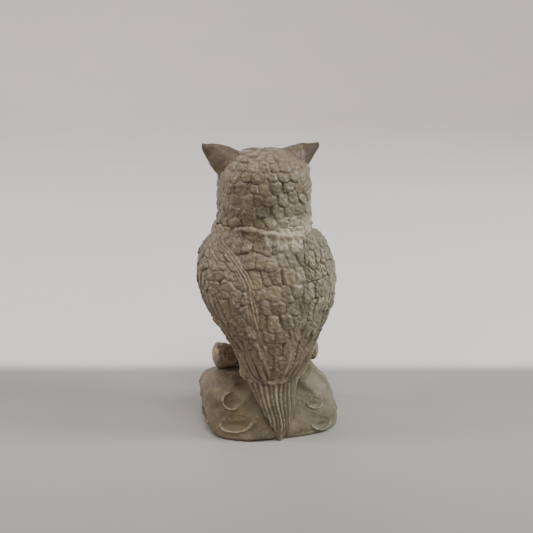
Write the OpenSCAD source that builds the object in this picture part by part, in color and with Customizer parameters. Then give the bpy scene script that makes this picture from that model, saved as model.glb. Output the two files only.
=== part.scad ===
// Owl figurine: a horned owl on a log over a rock plinth, made as separate cast pieces.
// Millimetres. The owl faces -Y, its left side is +X, and the plinth stands on Z = 0
// with the origin in the middle of the space that the figurine fills.

/* [Plinth] */
// Width of the rock plinth, across the owl
plinth_w = 74; // [72:0.5:76]
// Depth of the rock plinth, front to back
plinth_d = 50; // [48:0.5:52]
// Height of the rock where the log lies on it
plinth_h = 32; // [31:0.5:33]

/* [Log] */
// Radius of the perch log
log_r = 7; // [6.5:0.1:7.5]
// How far the log reaches to the owl's left
log_left = 29.5; // [28:0.5:31]
// How far the log reaches to the owl's right
log_right = 28.5; // [27:0.5:29.5]

/* [Owl] */
// Height from the table to the ear tips
total_h = 151; // [149:0.5:153]
// Half the width across the folded wings
wing_half = 36; // [35.5:0.1:36.6]
// Half the width of the head
head_half = 23.6; // [23.2:0.1:24]
// Half the span between the ear tips
ear_half = 29.6; // [28.5:0.1:30]
// Thickness that a folded wing adds at the shoulder
wing_thick = 6.2; // [5.6:0.1:6.6]

/* [Face] */
// Radius of each facial disc
disc_r = 10.6; // [10:0.1:11]
// Radius of each eye
eye_r = 4.8; // [4.4:0.1:5.2]
// Height of the eyes above the table
eye_z = 129; // [127:0.5:130]

/* [Feet] */
// Radius of a toe
toe_r = 2.1; // [1.9:0.1:2.3]
// Distance between neighbouring toes along the log
toe_gap = 4.6; // [4.5:0.1:5]

/* [Hidden] */

stone = "#7d705e";        // body castings
stone_dark = "#6b5d4c";   // ears, beak, claws and log
eye_colour = "#3b3128";   // eyes

plinth_y = -2.7;          // middle of the plinth, front to back
neck_z = 107;             // parting plane between head and torso
head_x = 1.2;             // the head sits a little towards the owl's left
head_y = -5;              // middle of the head, front to back
crown_z = total_h - 2.6;  // top of the crown, between the ears
log_y = -5;               // axis of the log
log_z = plinth_h + log_r - 0.5;
ear_shift = 0.9;          // the ears sit a little further to the owl's left than the head
body_power = 2.15;        // roundness of the torso's sections: 2 is an ellipse
glue = 0.1;               // gap left for glue round each seat
key_af = 12;              // width of the hexagonal neck key, corner to corner
key_h = 7;                // length of the neck key
foot_x = 10.5;            // middle toe of each foot
knuckle_r = 4.6;          // joint that the toes spring from
toe_tilt = 118;           // angle that a toe wraps round the log
claw_turn = 38;           // angle that a claw adds to its toe

// ---- Station tables: [height, middle x, middle y, half width, front reach, back reach] ----

plinth_table = [
    [0, -0.9, plinth_y, plinth_w / 2 - 3, plinth_d / 2 - 1.2, plinth_d / 2 - 1],
    [2, -0.7, plinth_y, plinth_w / 2 - 1.4, plinth_d / 2, plinth_d / 2],
    [8, -0.1, plinth_y, plinth_w / 2, plinth_d / 2, plinth_d / 2 - 0.8],
    [15, 0, plinth_y, plinth_w / 2 - 0.2, plinth_d / 2 - 0.8, plinth_d / 2 - 2.2],
    [22, 0.2, plinth_y, plinth_w / 2 - 1.4, plinth_d / 2 - 2.2, plinth_d / 2 - 4.6],
    [27, 0.3, plinth_y, plinth_w / 2 - 4.6, plinth_d / 2 - 5, plinth_d / 2 - 8],
    [30.5, 0.3, plinth_y, plinth_w / 2 - 10.5, plinth_d / 2 - 9.5, plinth_d / 2 - 12],
    [plinth_h, 0.3, plinth_y, plinth_w / 2 - 20, plinth_d / 2 - 16, plinth_d / 2 - 17]];

torso_table = [
    [23, 0, 12, 8, 6, 3],
    [28, 0, 12, 9, 8, 3.5],
    [32, 0.2, 12.5, 12.4, 9.5, 7],
    [35, -0.1, 12.5, 16, 10.5, 11],
    [39, -0.8, 12, 17.6, 12.5, 13.4],
    [45, -1.5, 11, 19.6, 16.5, 15.8],
    [52, -1.5, 9, 21.8, 23.5, 18.4],
    [60, -1, 7, 25.2, 28, 20.6],
    [69, 0.2, 5, 28, 29.5, 21.8],
    [79, 1.2, 3, wing_half - wing_thick, 28.8, 22.2],
    [89, 2, 1, wing_half - wing_thick, 27, 21.5],
    [98, 2.5, -1, 28.2, 24.5, 20.5],
    [105, 2.3, -3, 25.8, 21.5, 19.4],
    [112, 1.6, -4.4, 23.6, 19.6, 18.8]];

head_table = [
    [104, head_x, head_y + 0.5, head_half + 1.2, 19, 19.6],
    [110, head_x, head_y, head_half + 0.6, 19.6, 20],
    [117, head_x, head_y, head_half, 20.2, 20.5],
    [127, head_x, head_y, head_half - 0.2, 20.4, 21],
    [134, head_x, head_y, head_half - 0.7, 20, 20.5],
    [crown_z - 8.6, head_x, head_y, head_half - 2, 18.4, 18.9],
    [crown_z - 4.2, head_x, head_y, head_half - 6, 14.8, 15.2],
    [crown_z - 1.4, head_x, head_y, head_half - 12.6, 9, 9.2],
    [crown_z, head_x, head_y, 4, 3.2, 3.2]];

// The folded wings: share of the way down, height, angles from the back of the left wing's inner
// edge, of the right wing's inner edge and of both outer edges, thickness
wing_table = [
    [0, 110, 50, 42, 64, 0.6],
    [0.06, 106.5, 44, 40, 86, 4],
    [0.16, 100, 30.5, 36, 101, 5.8],
    [0.3, 89, 20.5, 31, 108, wing_thick + 0.2],
    [0.45, 78, 20, 25, 104, wing_thick - 0.2],
    [0.6, 67, 19.5, 17, 96, wing_thick - 1.6],
    [0.75, 56, 16, 9, 88, 3],
    [0.88, 46, 14.5, 5, 76, 2.4],
    [1, 38.5, 15.5, 6, 60, 1.2]];

// The flight-feather tips, in the same columns
feather_table = [
    [0, 53, 18, 10, 84, 3.2],
    [0.4, 45, 13, 4, 78, 3.2],
    [0.75, 38.5, 9, 1, 62, 2.6],
    [1, 34.5, 10, 2, 36, 0.8]];

tail_table = [
    [0, -4.3, 18, 3.6, 6, 5.2],
    [4, -3.6, 18.4, 4.6, 7, 5.2],
    [13, -2.6, 19, 7.6, 8, 5.6],
    [26, 0.1, 18.4, 11, 8, 6.8],
    [34, 0.4, 17, 13.6, 7, 7.4],
    [42, 0.2, 15.5, 13.4, 5, 7]];

// A leg about its own middle, in the columns of the station tables
leg_table = [
    [log_z + log_r + 1.2, 0, -5.6, 5, 4.8, 5.2],
    [log_z + log_r + 3, 0, -6.4, 6.2, 6.6, 6],
    [log_z + log_r + 7, 0, -8.5, 8, 10, 7],
    [log_z + log_r + 14, 0, -11.5, 8, 10.6, 6],
    [log_z + log_r + 21, 0, -14, 6, 8.4, 4],
    [log_z + log_r + 26, 0, -14, 2, 4, 2]];

// ---- Shape functions ----

function side_of(left) = left ? 1 : -1;
function mix(a, b, t) = a + (b - a) * t;
function signed_pow(v, p) = sign(v) * pow(abs(v), p);

// Index of the stretch of a table that holds key k
function stretch(table, k, i = 0) =
    i >= len(table) - 2 || k < table[i + 1][0] ? i : stretch(table, k, i + 1);

// Slope of a table at row i, from its neighbours
function slope(table, i) =
    let (a = max(i - 1, 0), b = min(i + 1, len(table) - 1))
    (table[b] - table[a]) / (table[b][0] - table[a][0]);

// Smooth row of a table at key k: a cubic that passes through every row
function row_at(table, k) =
    let (i = stretch(table, k), h = table[i + 1][0] - table[i][0], t = (k - table[i][0]) / h)
    (2 * t^3 - 3 * t^2 + 1) * table[i] + (t^3 - 2 * t^2 + t) * h * slope(table, i)
    + (3 * t^2 - 2 * t^3) * table[i + 1] + (t^3 - t^2) * h * slope(table, i + 1);

// Point of a row's rounded oval at an angle from the back, towards the owl's left, pushed out by grow
function oval_point(row, angle, power, grow = 0) =
    let (s = signed_pow(sin(angle), 2 / power), c = signed_pow(cos(angle), 2 / power))
    [row[1] + (row[3] + grow) * s, row[2] + ((c > 0 ? row[5] : row[4]) + grow) * c, row[0]];

// Ring of n points round a row's oval
function oval_ring(row, n, power) = [for (i = [0:n - 1]) oval_point(row, 360 * i / n, power)];

// Rings up a table at evenly spaced heights
function oval_rings(table, rings, n, power) =
    let (low = table[0][0], high = table[len(table) - 1][0])
    [for (j = [0:rings]) oval_ring(row_at(table, mix(low, high, j / rings)), n, power)];

// A ring in the order that faces its skin outwards on either side
function turned(side, ring) =
    side > 0 ? ring : [for (i = [len(ring) - 1:-1:0]) ring[i]];

// How far a wing stands off the torso, u of the way across it
function wing_rise(thick, u) = thick * pow(sin(180 * u), 0.55) - 0.4;

// Section of an ear: an oval through mid plus and minus half, thick on either side of it
function ear_ring(side, mid, half, thick) =
    [for (i = [0:15]) let (a = 360 * i / 16, p = mid + half * cos(a) + [0, thick * sin(a), 0])
        [head_x + ear_shift + side * p[0], p[1], p[2]]];

// Mean of a ring's points
function middle(ring) = [for (p = ring) 1] * ring / len(ring);

// ---- Building modules ----

// Closed solid through a list of rings that all have the same number of points
module skin(rings) {
    n = len(rings[0]);
    last = len(rings) - 1;
    side = [for (j = [0:last - 1], i = [0:n - 1])
        let (a = j * n + i, b = j * n + (i + 1) % n)
        each [[a, b, b + n], [a, b + n, a + n]]];
    ends = [for (i = [0:n - 1]) each [
        [(i + 1) % n, i, n * (last + 1)],
        [last * n + i, last * n + (i + 1) % n, n * (last + 1) + 1]]];
    polyhedron([for (r = rings) each r, middle(rings[0]), middle(rings[last])],
        concat(side, ends), convexity = 6);
}

// A resize to its own size, which keeps a cut between sculpted shapes as one mesh
module one_mesh() {
    resize([0, 0, 0]) children();
}

// Children as they are for the left, mirrored for the right
module on_both_sides(left) {
    if (left) children();
    else mirror([1, 0, 0]) children();
}

// ---- Sculpted shapes, before they are cut to fit each other ----

module rock_shape() {
    skin(oval_rings(plinth_table, 14, 48, 2.9));
}

module torso_shape() {
    skin(oval_rings(torso_table, 26, 44, body_power));
}

module head_shape() {
    skin(oval_rings(head_table, 18, 40, 2.3));
}

module tail_shape() {
    skin(oval_rings(tail_table, 12, 24, 2.2));
}

// Wing on one side, 1 for the left: an outer sweep that stands off the torso and an inner sweep in it
module wing_shape(table, steps, side) {
    outer = 16;
    inner = 6;
    skin([for (j = [steps:-1:0])
        let (w = row_at(table, j / steps), row = row_at(torso_table, w[1]))
        let (edge = side > 0 ? w[2] : w[3])
        turned(side, concat(
            [for (i = [0:outer]) let (u = i / outer)
                oval_point(row, side * mix(edge, w[4], u), body_power, wing_rise(w[5], u))],
            [for (i = [inner:-1:0]) let (u = i / inner)
                oval_point(row, side * mix(edge + 1, w[4] - 1, u), body_power, -3)]))]);
}

// Ear tuft on one side: each section runs from the top edge to the lower edge
module ear_shape(side) {
    tip = [ear_half, -8.5, total_h - (side > 0 ? 0 : 1.2)];
    root = [side > 0 ? 10.7 : 7.4, -6, crown_z - 1.2];
    steps = 10;
    skin([for (j = [0:steps])
        let (t = j / steps, dip = sin(180 * t))
        let (top = mix(root, tip, t) + [0, 0, 1.5] * dip)
        let (low = mix([20.8, -5, 133], tip - [0, 0, 2.4], t) - [0.8, 0, 0.2] * dip)
        turned(side, ear_ring(side, (top + low) / 2, (top - low) / 2, mix(9.5, 0.9, pow(t, 0.8))))]);
}

module log_profile() {
    polygon([[0, -log_right], [log_r - 2, -log_right], [log_r - 0.4, -log_right + 1.4],
        [log_r - 0.2, -8], [log_r, 12], [log_r - 0.6, log_left - 5], [log_r, log_left - 2],
        [log_r - 0.8, log_left - 0.4], [log_r - 2.4, log_left], [0, log_left]]);
}

module log_shape(grow = 0) {
    translate([0, log_y, log_z]) rotate([0, 90, 0])
        cylinder(r = log_r + grow, h = 2 * plinth_w, center = true, $fn = 72);
}

module neck_key(grow = 0) {
    translate([head_x, head_y, neck_z - key_h - grow])
        cylinder(d = key_af + 2 * grow, h = key_h + 2 * grow, $fn = 6);
}

// Seat of a facial disc on the front of the head, looking forwards and a little outwards
module at_face(left) {
    side = side_of(left);
    translate([head_x + side * 11.1, head_y - 16.2, eye_z]) rotate([90, 0, side * 16]) children();
}

// Seats for both facial discs
module face_seats() {
    for (left = [true, false])
        at_face(left) cylinder(r = disc_r + glue, h = 12, $fn = 48);
}

module beak_shape() {
    steps = 10;
    skin([for (j = [0:steps])
        let (t = j / steps, w = mix(3.1, 0.5, pow(t, 1.6)), a = 10 + 80 * t,
            c = [head_x, head_y - 18 - 4.5 * sin(a), eye_z - 1.5 - 9 * (1 - cos(a)) - 3 * t])
        [for (i = [0:15]) let (b = 360 * i / 16)
            c + [w * cos(b), w * 1.2 * sin(b) * cos(a), w * 1.2 * sin(b) * sin(a)]]]);
}

module leg_shape() {
    translate([foot_x, 0, 0]) skin(oval_rings(leg_table, 10, 20, 2.1));
}

// Joint that the toes spring from
module knuckle(grow = 0) {
    translate([foot_x, log_y - 2, log_z + log_r + 1]) sphere(r = knuckle_r + grow, $fn = 20);
}

// Three toes that wrap over the front of the log, round the log's own axis
module toes(grow = 0) {
    for (k = [-1:1]) translate([foot_x + k * toe_gap, log_y, log_z])
        wrap() translate([log_r + toe_r + 0.05, 0]) circle(r = toe_r + grow, $fn = 16);
}

// Turns a flat profile round the log's axis, from its top over its front
module wrap() {
    rotate([0, 90, 0]) rotate([0, 0, 180]) rotate_extrude(angle = toe_tilt, $fn = 48) children();
}

// Space that a foot needs: its knuckle, its toes and most of the gaps between them
module foot_space() {
    knuckle(glue);
    toes(glue);
    translate([foot_x, log_y, log_z]) wrap()
        translate([log_r - 1, -toe_gap - toe_r]) square([1 + 1.6 * toe_r, 2 * (toe_gap + toe_r)]);
}

// ---- Nodes ----

module rock_plinth() {
    color(stone) one_mesh() difference() {
        rock_shape();
        log_shape(glue);
    }
}

module perch_log() {
    color(stone_dark) translate([0, log_y, log_z]) rotate([0, 90, 0]) rotate_extrude($fn = 72)
        log_profile();
}

module torso() {
    color(stone) one_mesh() difference() {
        torso_shape();
        translate([-50, -50, neck_z]) cube([100, 100, 20]);
        neck_key(glue);
        log_shape(glue);
        rock_shape();
        for (left = [true, false])
            on_both_sides(left) foot_space();
    }
}

module head() {
    color(stone) one_mesh() {
        difference() {
            head_shape();
            translate([-50, -50, neck_z - 20]) cube([100, 100, 20]);
            face_seats();
        }
        neck_key();
    }
}

module ear(left) {
    color(stone_dark) one_mesh() difference() {
        ear_shape(side_of(left));
        head_shape();
    }
}

module face_disc(left) {
    color(stone) at_face(left) rotate_extrude($fn = 60)
        polygon([[0, 0], [disc_r, 0], [disc_r, 3.4], [disc_r - 0.8, 4.6], [disc_r - 2.2, 4.9],
            [disc_r - 4.2, 4], [eye_r + 0.6, 3.1], [0, 3.1]]);
}

module eye(left) {
    color(eye_colour) at_face(left) translate([0, 0, 3.1]) rotate_extrude($fn = 40)
        intersection() {
            translate([0, eye_r * 0.35 - eye_r * 0.6]) circle(r = eye_r, $fn = 48);
            square([eye_r, 2 * eye_r]);
        }
}

module beak() {
    color(stone_dark) one_mesh() difference() {
        beak_shape();
        head_shape();
        face_seats();
    }
}

module wing(left) {
    color(stone) one_mesh() difference() {
        wing_shape(wing_table, 22, side_of(left));
        torso_shape();
        head_shape();
    }
}

module flight_feathers(left) {
    color(stone) one_mesh() difference() {
        wing_shape(feather_table, 10, side_of(left));
        torso_shape();
        wing_shape(wing_table, 22, side_of(left));
    }
}

module tail() {
    color(stone) one_mesh() difference() {
        tail_shape();
        torso_shape();
        rock_shape();
        for (side = [1, -1])
            wing_shape(feather_table, 10, side);
    }
}

module leg(left) {
    color(stone) one_mesh() difference() {
        on_both_sides(left) leg_shape();
        torso_shape();
        log_shape(glue);
        on_both_sides(left) foot_space();
    }
}

module foot(left) {
    color(stone_dark) on_both_sides(left) difference() {
        union() {
            toes();
            knuckle();
        }
        log_shape();
    }
}

module claws(left) {
    color(stone_dark) on_both_sides(left)
        for (k = [-1:1]) translate([foot_x + k * toe_gap, log_y, log_z]) claw();
}

// A claw goes on round the log from its toe's end and tapers to a point
module claw() {
    steps = 8;
    skin([for (j = [0:steps])
        let (t = j / steps, a = toe_tilt + 0.3 + claw_turn * t, r = toe_r * mix(0.9, 0.12, t),
            arm = log_r + toe_r + 0.05 - (toe_r - r) * 0.6)
        [for (i = [0:11]) let (b = 360 * i / 12, d = arm + r * cos(b))
            [r * sin(b), -d * sin(a), d * cos(a)]]]);
}

rock_plinth();
perch_log();
torso();
head();
ear(true);  // left_ear
ear(false);  // right_ear
face_disc(true);  // left_face_disc
face_disc(false);  // right_face_disc
eye(true);  // left_eye
eye(false);  // right_eye
beak();
wing(true);  // left_wing
wing(false);  // right_wing
flight_feathers(true);  // left_flight_feathers
flight_feathers(false);  // right_flight_feathers
tail();
leg(true);  // left_leg
leg(false);  // right_leg
foot(true);  // left_foot
foot(false);  // right_foot
claws(true);  // left_claws
claws(false);  // right_claws
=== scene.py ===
"""Looks of a horned-owl figurine: carved feathers, rock, log and tail in a waxed, stone-look casting.

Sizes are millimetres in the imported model's frame: the owl faces -Y, its left side is +X and the plinth
stands on Z = 0. Angles round a section run from the back (+Y) towards the owl's left (+X).
"""

import logging
import math
from dataclasses import dataclass, replace
from enum import Enum
from functools import cache
from typing import ClassVar

import bpy
import numpy as np
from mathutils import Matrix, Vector


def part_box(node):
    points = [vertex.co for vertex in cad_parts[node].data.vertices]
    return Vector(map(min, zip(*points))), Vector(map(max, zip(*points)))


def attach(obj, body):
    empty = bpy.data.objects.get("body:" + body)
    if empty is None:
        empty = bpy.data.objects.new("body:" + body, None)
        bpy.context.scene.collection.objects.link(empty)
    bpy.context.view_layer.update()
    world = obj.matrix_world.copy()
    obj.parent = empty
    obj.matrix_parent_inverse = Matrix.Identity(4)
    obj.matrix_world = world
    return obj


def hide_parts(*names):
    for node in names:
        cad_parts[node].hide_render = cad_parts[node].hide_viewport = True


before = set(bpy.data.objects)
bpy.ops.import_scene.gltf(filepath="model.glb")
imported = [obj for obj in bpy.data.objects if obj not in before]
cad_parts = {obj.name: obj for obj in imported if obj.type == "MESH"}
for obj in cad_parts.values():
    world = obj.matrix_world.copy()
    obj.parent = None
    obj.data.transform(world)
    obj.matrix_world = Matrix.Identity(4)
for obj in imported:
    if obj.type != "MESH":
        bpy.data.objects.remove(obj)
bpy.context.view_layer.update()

log = logging.getLogger("owl")
MM = 0.001
TURN = 2 * math.pi
Table = tuple[tuple[float, ...], ...]
Colour = tuple[float, float, float]
MARK_NAMES = ("crevice", "tone", "polish_and_highlight")


class Side(Enum):
    """The owl's own left or right; the value is the sign of its X."""

    LEFT = 1
    RIGHT = -1

    @property
    def word(self) -> str:
        """The side as node names spell it."""
        return self.name.lower()


# ---------------------------------------------------------------- shape maths


def span(node: str) -> tuple[np.ndarray, np.ndarray]:
    """Lowest and highest corner of a CAD node.

    Args:
        node: Name of the node.

    Returns:
        The two corners, in millimetres.
    """
    low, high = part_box(node)
    return np.array(low) / MM, np.array(high) / MM


def centre(node: str) -> np.ndarray:
    """Middle of a CAD node's box, in millimetres."""
    low, high = span(node)
    return (low + high) / 2


def half_size(node: str) -> np.ndarray:
    """Half the width, depth and height of a CAD node's box, in millimetres."""
    low, high = span(node)
    return (high - low) / 2


def around(count: int) -> np.ndarray:
    """Evenly spaced angles, once round."""
    return np.arange(count) / count * TURN


def ease(value: np.ndarray, start: float, end: float) -> np.ndarray:
    """Smooth step: 0 before start, 1 after end, and 3t^2 - 2t^3 between them.

    Args:
        value: Numbers to judge.
        start: Where the step begins. It may be above end, for a falling step.
        end: Where the step is complete.

    Returns:
        Numbers from 0 to 1.
    """
    share = np.clip((value - start) / (end - start), 0, 1)
    return share * share * (3 - 2 * share)


def dome(share: np.ndarray) -> np.ndarray:
    """Quarter circle: rises steeply from 0 and levels out at 1."""
    share = np.clip(share, 0, 1)
    return np.sqrt(share * (2 - share))


def bell(distance: np.ndarray, width: float) -> np.ndarray:
    """Bell curve: 1 where the distance is 0, falling to a third at one width."""
    return np.exp(-((distance / width) ** 2))


def chance(row: np.ndarray, column: np.ndarray, seed: float) -> np.ndarray:
    """Repeatable random number for each cell: the fraction of a large sine of the cell's numbers.

    Args:
        row: Row numbers.
        column: Column numbers.
        seed: Picks the set of numbers.

    Returns:
        Numbers from 0 to 1.
    """
    big = np.sin(row * 127.1 + column * 311.7 + seed * 74.7) * 43758.5453
    return big - np.floor(big)


def lumps(points: np.ndarray, size: float, seed: int, waves: int = 14) -> np.ndarray:
    """Smooth noise: the sum of plane sine waves in seeded directions, scaled to about -1 to 1.

    Args:
        points: Positions, with XYZ last.
        size: Typical wavelength.
        seed: Picks the set of waves.
        waves: Number of waves.

    Returns:
        One number for each position.
    """
    rng = np.random.default_rng(seed)
    heading = rng.normal(size=(3, waves))
    heading /= np.linalg.norm(heading, axis=0)
    pitch = size * rng.uniform(0.7, 1.5, waves)
    return np.sin(points @ (heading * TURN / pitch) + rng.uniform(0, TURN, waves)).sum(-1) / math.sqrt(waves)


def rough_cut(points: np.ndarray, seed: int, strength: float = 1.0) -> np.ndarray:
    """Unevenness that the carver's tools left: broad swells, small lumps and a fine grit.

    Args:
        points: Positions, with XYZ last.
        seed: Picks the set of waves.
        strength: Multiplies the small lumps and the grit.

    Returns:
        A height for each position.
    """
    fine = 0.14 * lumps(points, 3.3, seed + 1) + 0.11 * lumps(points, 1.7, seed + 2, 24)
    return 0.28 * lumps(points, 12, seed) + strength * fine


def rows_at(table: Table, keys: np.ndarray) -> np.ndarray:
    """Rows of a station table at any keys, on a cubic through every station.

    The cubic's slope at a station is that of the straight line between the station's neighbours.

    Args:
        table: Stations, each with its key first.
        keys: Keys to look up.

    Returns:
        A row for each key.
    """
    rows = np.asarray(table, float)
    last = len(rows) - 1
    lower = np.maximum(np.arange(last + 1) - 1, 0)
    upper = np.minimum(np.arange(last + 1) + 1, last)
    slope = (rows[upper] - rows[lower]) / (rows[upper, 0] - rows[lower, 0])[:, None]
    i = np.clip(np.searchsorted(rows[:, 0], keys, side="right") - 1, 0, last - 1)
    gap = (rows[i + 1, 0] - rows[i, 0])[..., None]
    t = (np.asarray(keys) - rows[i, 0])[..., None] / gap
    ends = (2 * t**3 - 3 * t**2 + 1) * rows[i] + (3 * t**2 - 2 * t**3) * rows[i + 1]
    return ends + gap * ((t**3 - 2 * t**2 + t) * slope[i] + (t**3 - t**2) * slope[i + 1])


def oval(rows: np.ndarray, angle: np.ndarray, power: float, grow: np.ndarray | float = 0.0) -> np.ndarray:
    """Points of superellipses: sine and cosine raised to 2 / power, with own reaches front and back.

    Args:
        rows: Rows of height, middle x, middle y, half width, front reach and back reach.
        angle: Angles from the back towards the owl's left.
        power: 2 is an ellipse, and more is squarer.
        grow: Added to the reach all round.

    Returns:
        Points, with XYZ last.
    """
    sine, cosine = np.sin(angle), np.cos(angle)
    across = np.sign(sine) * np.abs(sine) ** (2 / power)
    along = np.sign(cosine) * np.abs(cosine) ** (2 / power)
    reach = np.where(cosine > 0, rows[..., 5], rows[..., 4])
    x = rows[..., 1] + (rows[..., 3] + grow) * across
    y = rows[..., 2] + (reach + grow) * along
    return np.stack([x, y, rows[..., 0] + 0 * x], -1)


def even_angles(row: np.ndarray, power: float, count: int) -> np.ndarray:
    """Angles that split one oval into equal lengths.

    Args:
        row: The oval's row.
        power: Its power.
        count: Number of angles.

    Returns:
        The angles, from 0.
    """
    dense = np.linspace(0, TURN, 4001)
    steps = np.linalg.norm(np.diff(oval(row[None], dense, power), axis=0), axis=1)
    length = np.concatenate([[0], np.cumsum(steps)])
    return np.interp(np.arange(count) / count * length[-1], length, dense)


def even_keys(table: Table, count: int) -> np.ndarray:
    """Heights that split a table's profile into equal lengths.

    Args:
        table: Station table.
        count: Number of heights.

    Returns:
        The heights, lowest first.
    """
    dense = np.linspace(table[0][0], table[-1][0], 3001)
    profile = rows_at(table, dense)[:, [0, 3, 5]]
    length = np.concatenate([[0], np.cumsum(np.linalg.norm(np.diff(profile, axis=0), axis=1))])
    return np.interp(np.linspace(0, length[-1], count), length, dense)


@dataclass
class Marks:
    """What the carving does to the colour, one number for each point.

    Attributes:
        crevice: 1 in the bottom of a cut, 0 on open surface; the shader paints shade from it, also in hollows
            and shaded places.
        tone: Random tone of the feather or patch, 0 to 1.
        polish_and_highlight: 1 on lips and ridges that handling has polished, which are also painted with a
            highlight.
    """

    crevice: np.ndarray
    tone: np.ndarray
    polish_and_highlight: np.ndarray

    @classmethod
    def plain(cls, shape: tuple[int, ...]) -> "Marks":
        """Marks of an uncarved surface."""
        return cls(np.zeros(shape), np.full(shape, 0.5), np.zeros(shape))

    def layers(self) -> tuple[np.ndarray, np.ndarray, np.ndarray]:
        """The three marks, in the order of MARK_NAMES."""
        return self.crevice, self.tone, self.polish_and_highlight

    def mixed(self, other: "Marks", share: np.ndarray) -> "Marks":
        """Marks that turn into another's.

        Args:
            other: The other marks.
            share: 0 keeps these, 1 takes the other's.

        Returns:
            The mixed marks.
        """
        return Marks(*(mine + (its - mine) * share for mine, its in zip(self.layers(), other.layers())))

    def darken(self, amount: np.ndarray) -> None:
        """Makes the crevice mark, which paints shade, at least this amount."""
        self.crevice = np.maximum(self.crevice, amount)

    def add_polish_and_highlight(self, amount: np.ndarray | float) -> None:
        """Makes the polish-and-highlight mark at least this amount."""
        self.polish_and_highlight = np.maximum(self.polish_and_highlight, amount)


@dataclass
class Sheet:
    """A surface on a grid of points: rows run along it, and columns run all the way round it."""

    points: np.ndarray

    def steps(self) -> tuple[np.ndarray, np.ndarray]:
        """The change from row to row and from column to column, at every point."""
        round_by = (np.roll(self.points, -1, 1) - np.roll(self.points, 1, 1)) / 2
        return np.gradient(self.points, axis=0), round_by

    def normals(self) -> np.ndarray:
        """Unit normals: the cross product of the two steps."""
        cross = np.cross(*self.steps())
        return cross / np.maximum(np.linalg.norm(cross, axis=-1, keepdims=True), 1e-9)

    def raised(self, height: np.ndarray) -> "Sheet":
        """The sheet moved along its normals.

        Args:
            height: How far, at every point.

        Returns:
            The moved sheet.
        """
        return Sheet(self.points + self.normals() * height[..., None])

    def girth(self) -> np.ndarray:
        """Length of each row, all the way round."""
        return np.linalg.norm(self.steps()[1], axis=-1).sum(1, keepdims=True)


def tube(path: np.ndarray, radius: np.ndarray, across: np.ndarray, columns: int) -> Sheet:
    """A round section carried along a path.

    Each ring is centre + radius * (cos * across + sin * third), and third is across x heading.

    Args:
        path: Centres, one for each ring.
        radius: Radius of each ring.
        across: One direction that stays square to the path.
        columns: Points in a ring.

    Returns:
        The tube as a sheet.
    """
    heading = np.gradient(path, axis=0)
    heading /= np.linalg.norm(heading, axis=1, keepdims=True)
    third = np.cross(across, heading)
    angle = around(columns)
    ring = np.cos(angle)[None, :, None] * across + np.sin(angle)[None, :, None] * third[:, None, :]
    return Sheet(path[:, None, :] + radius[:, None, None] * ring)


# ---------------------------------------------------------------- carving


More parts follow.
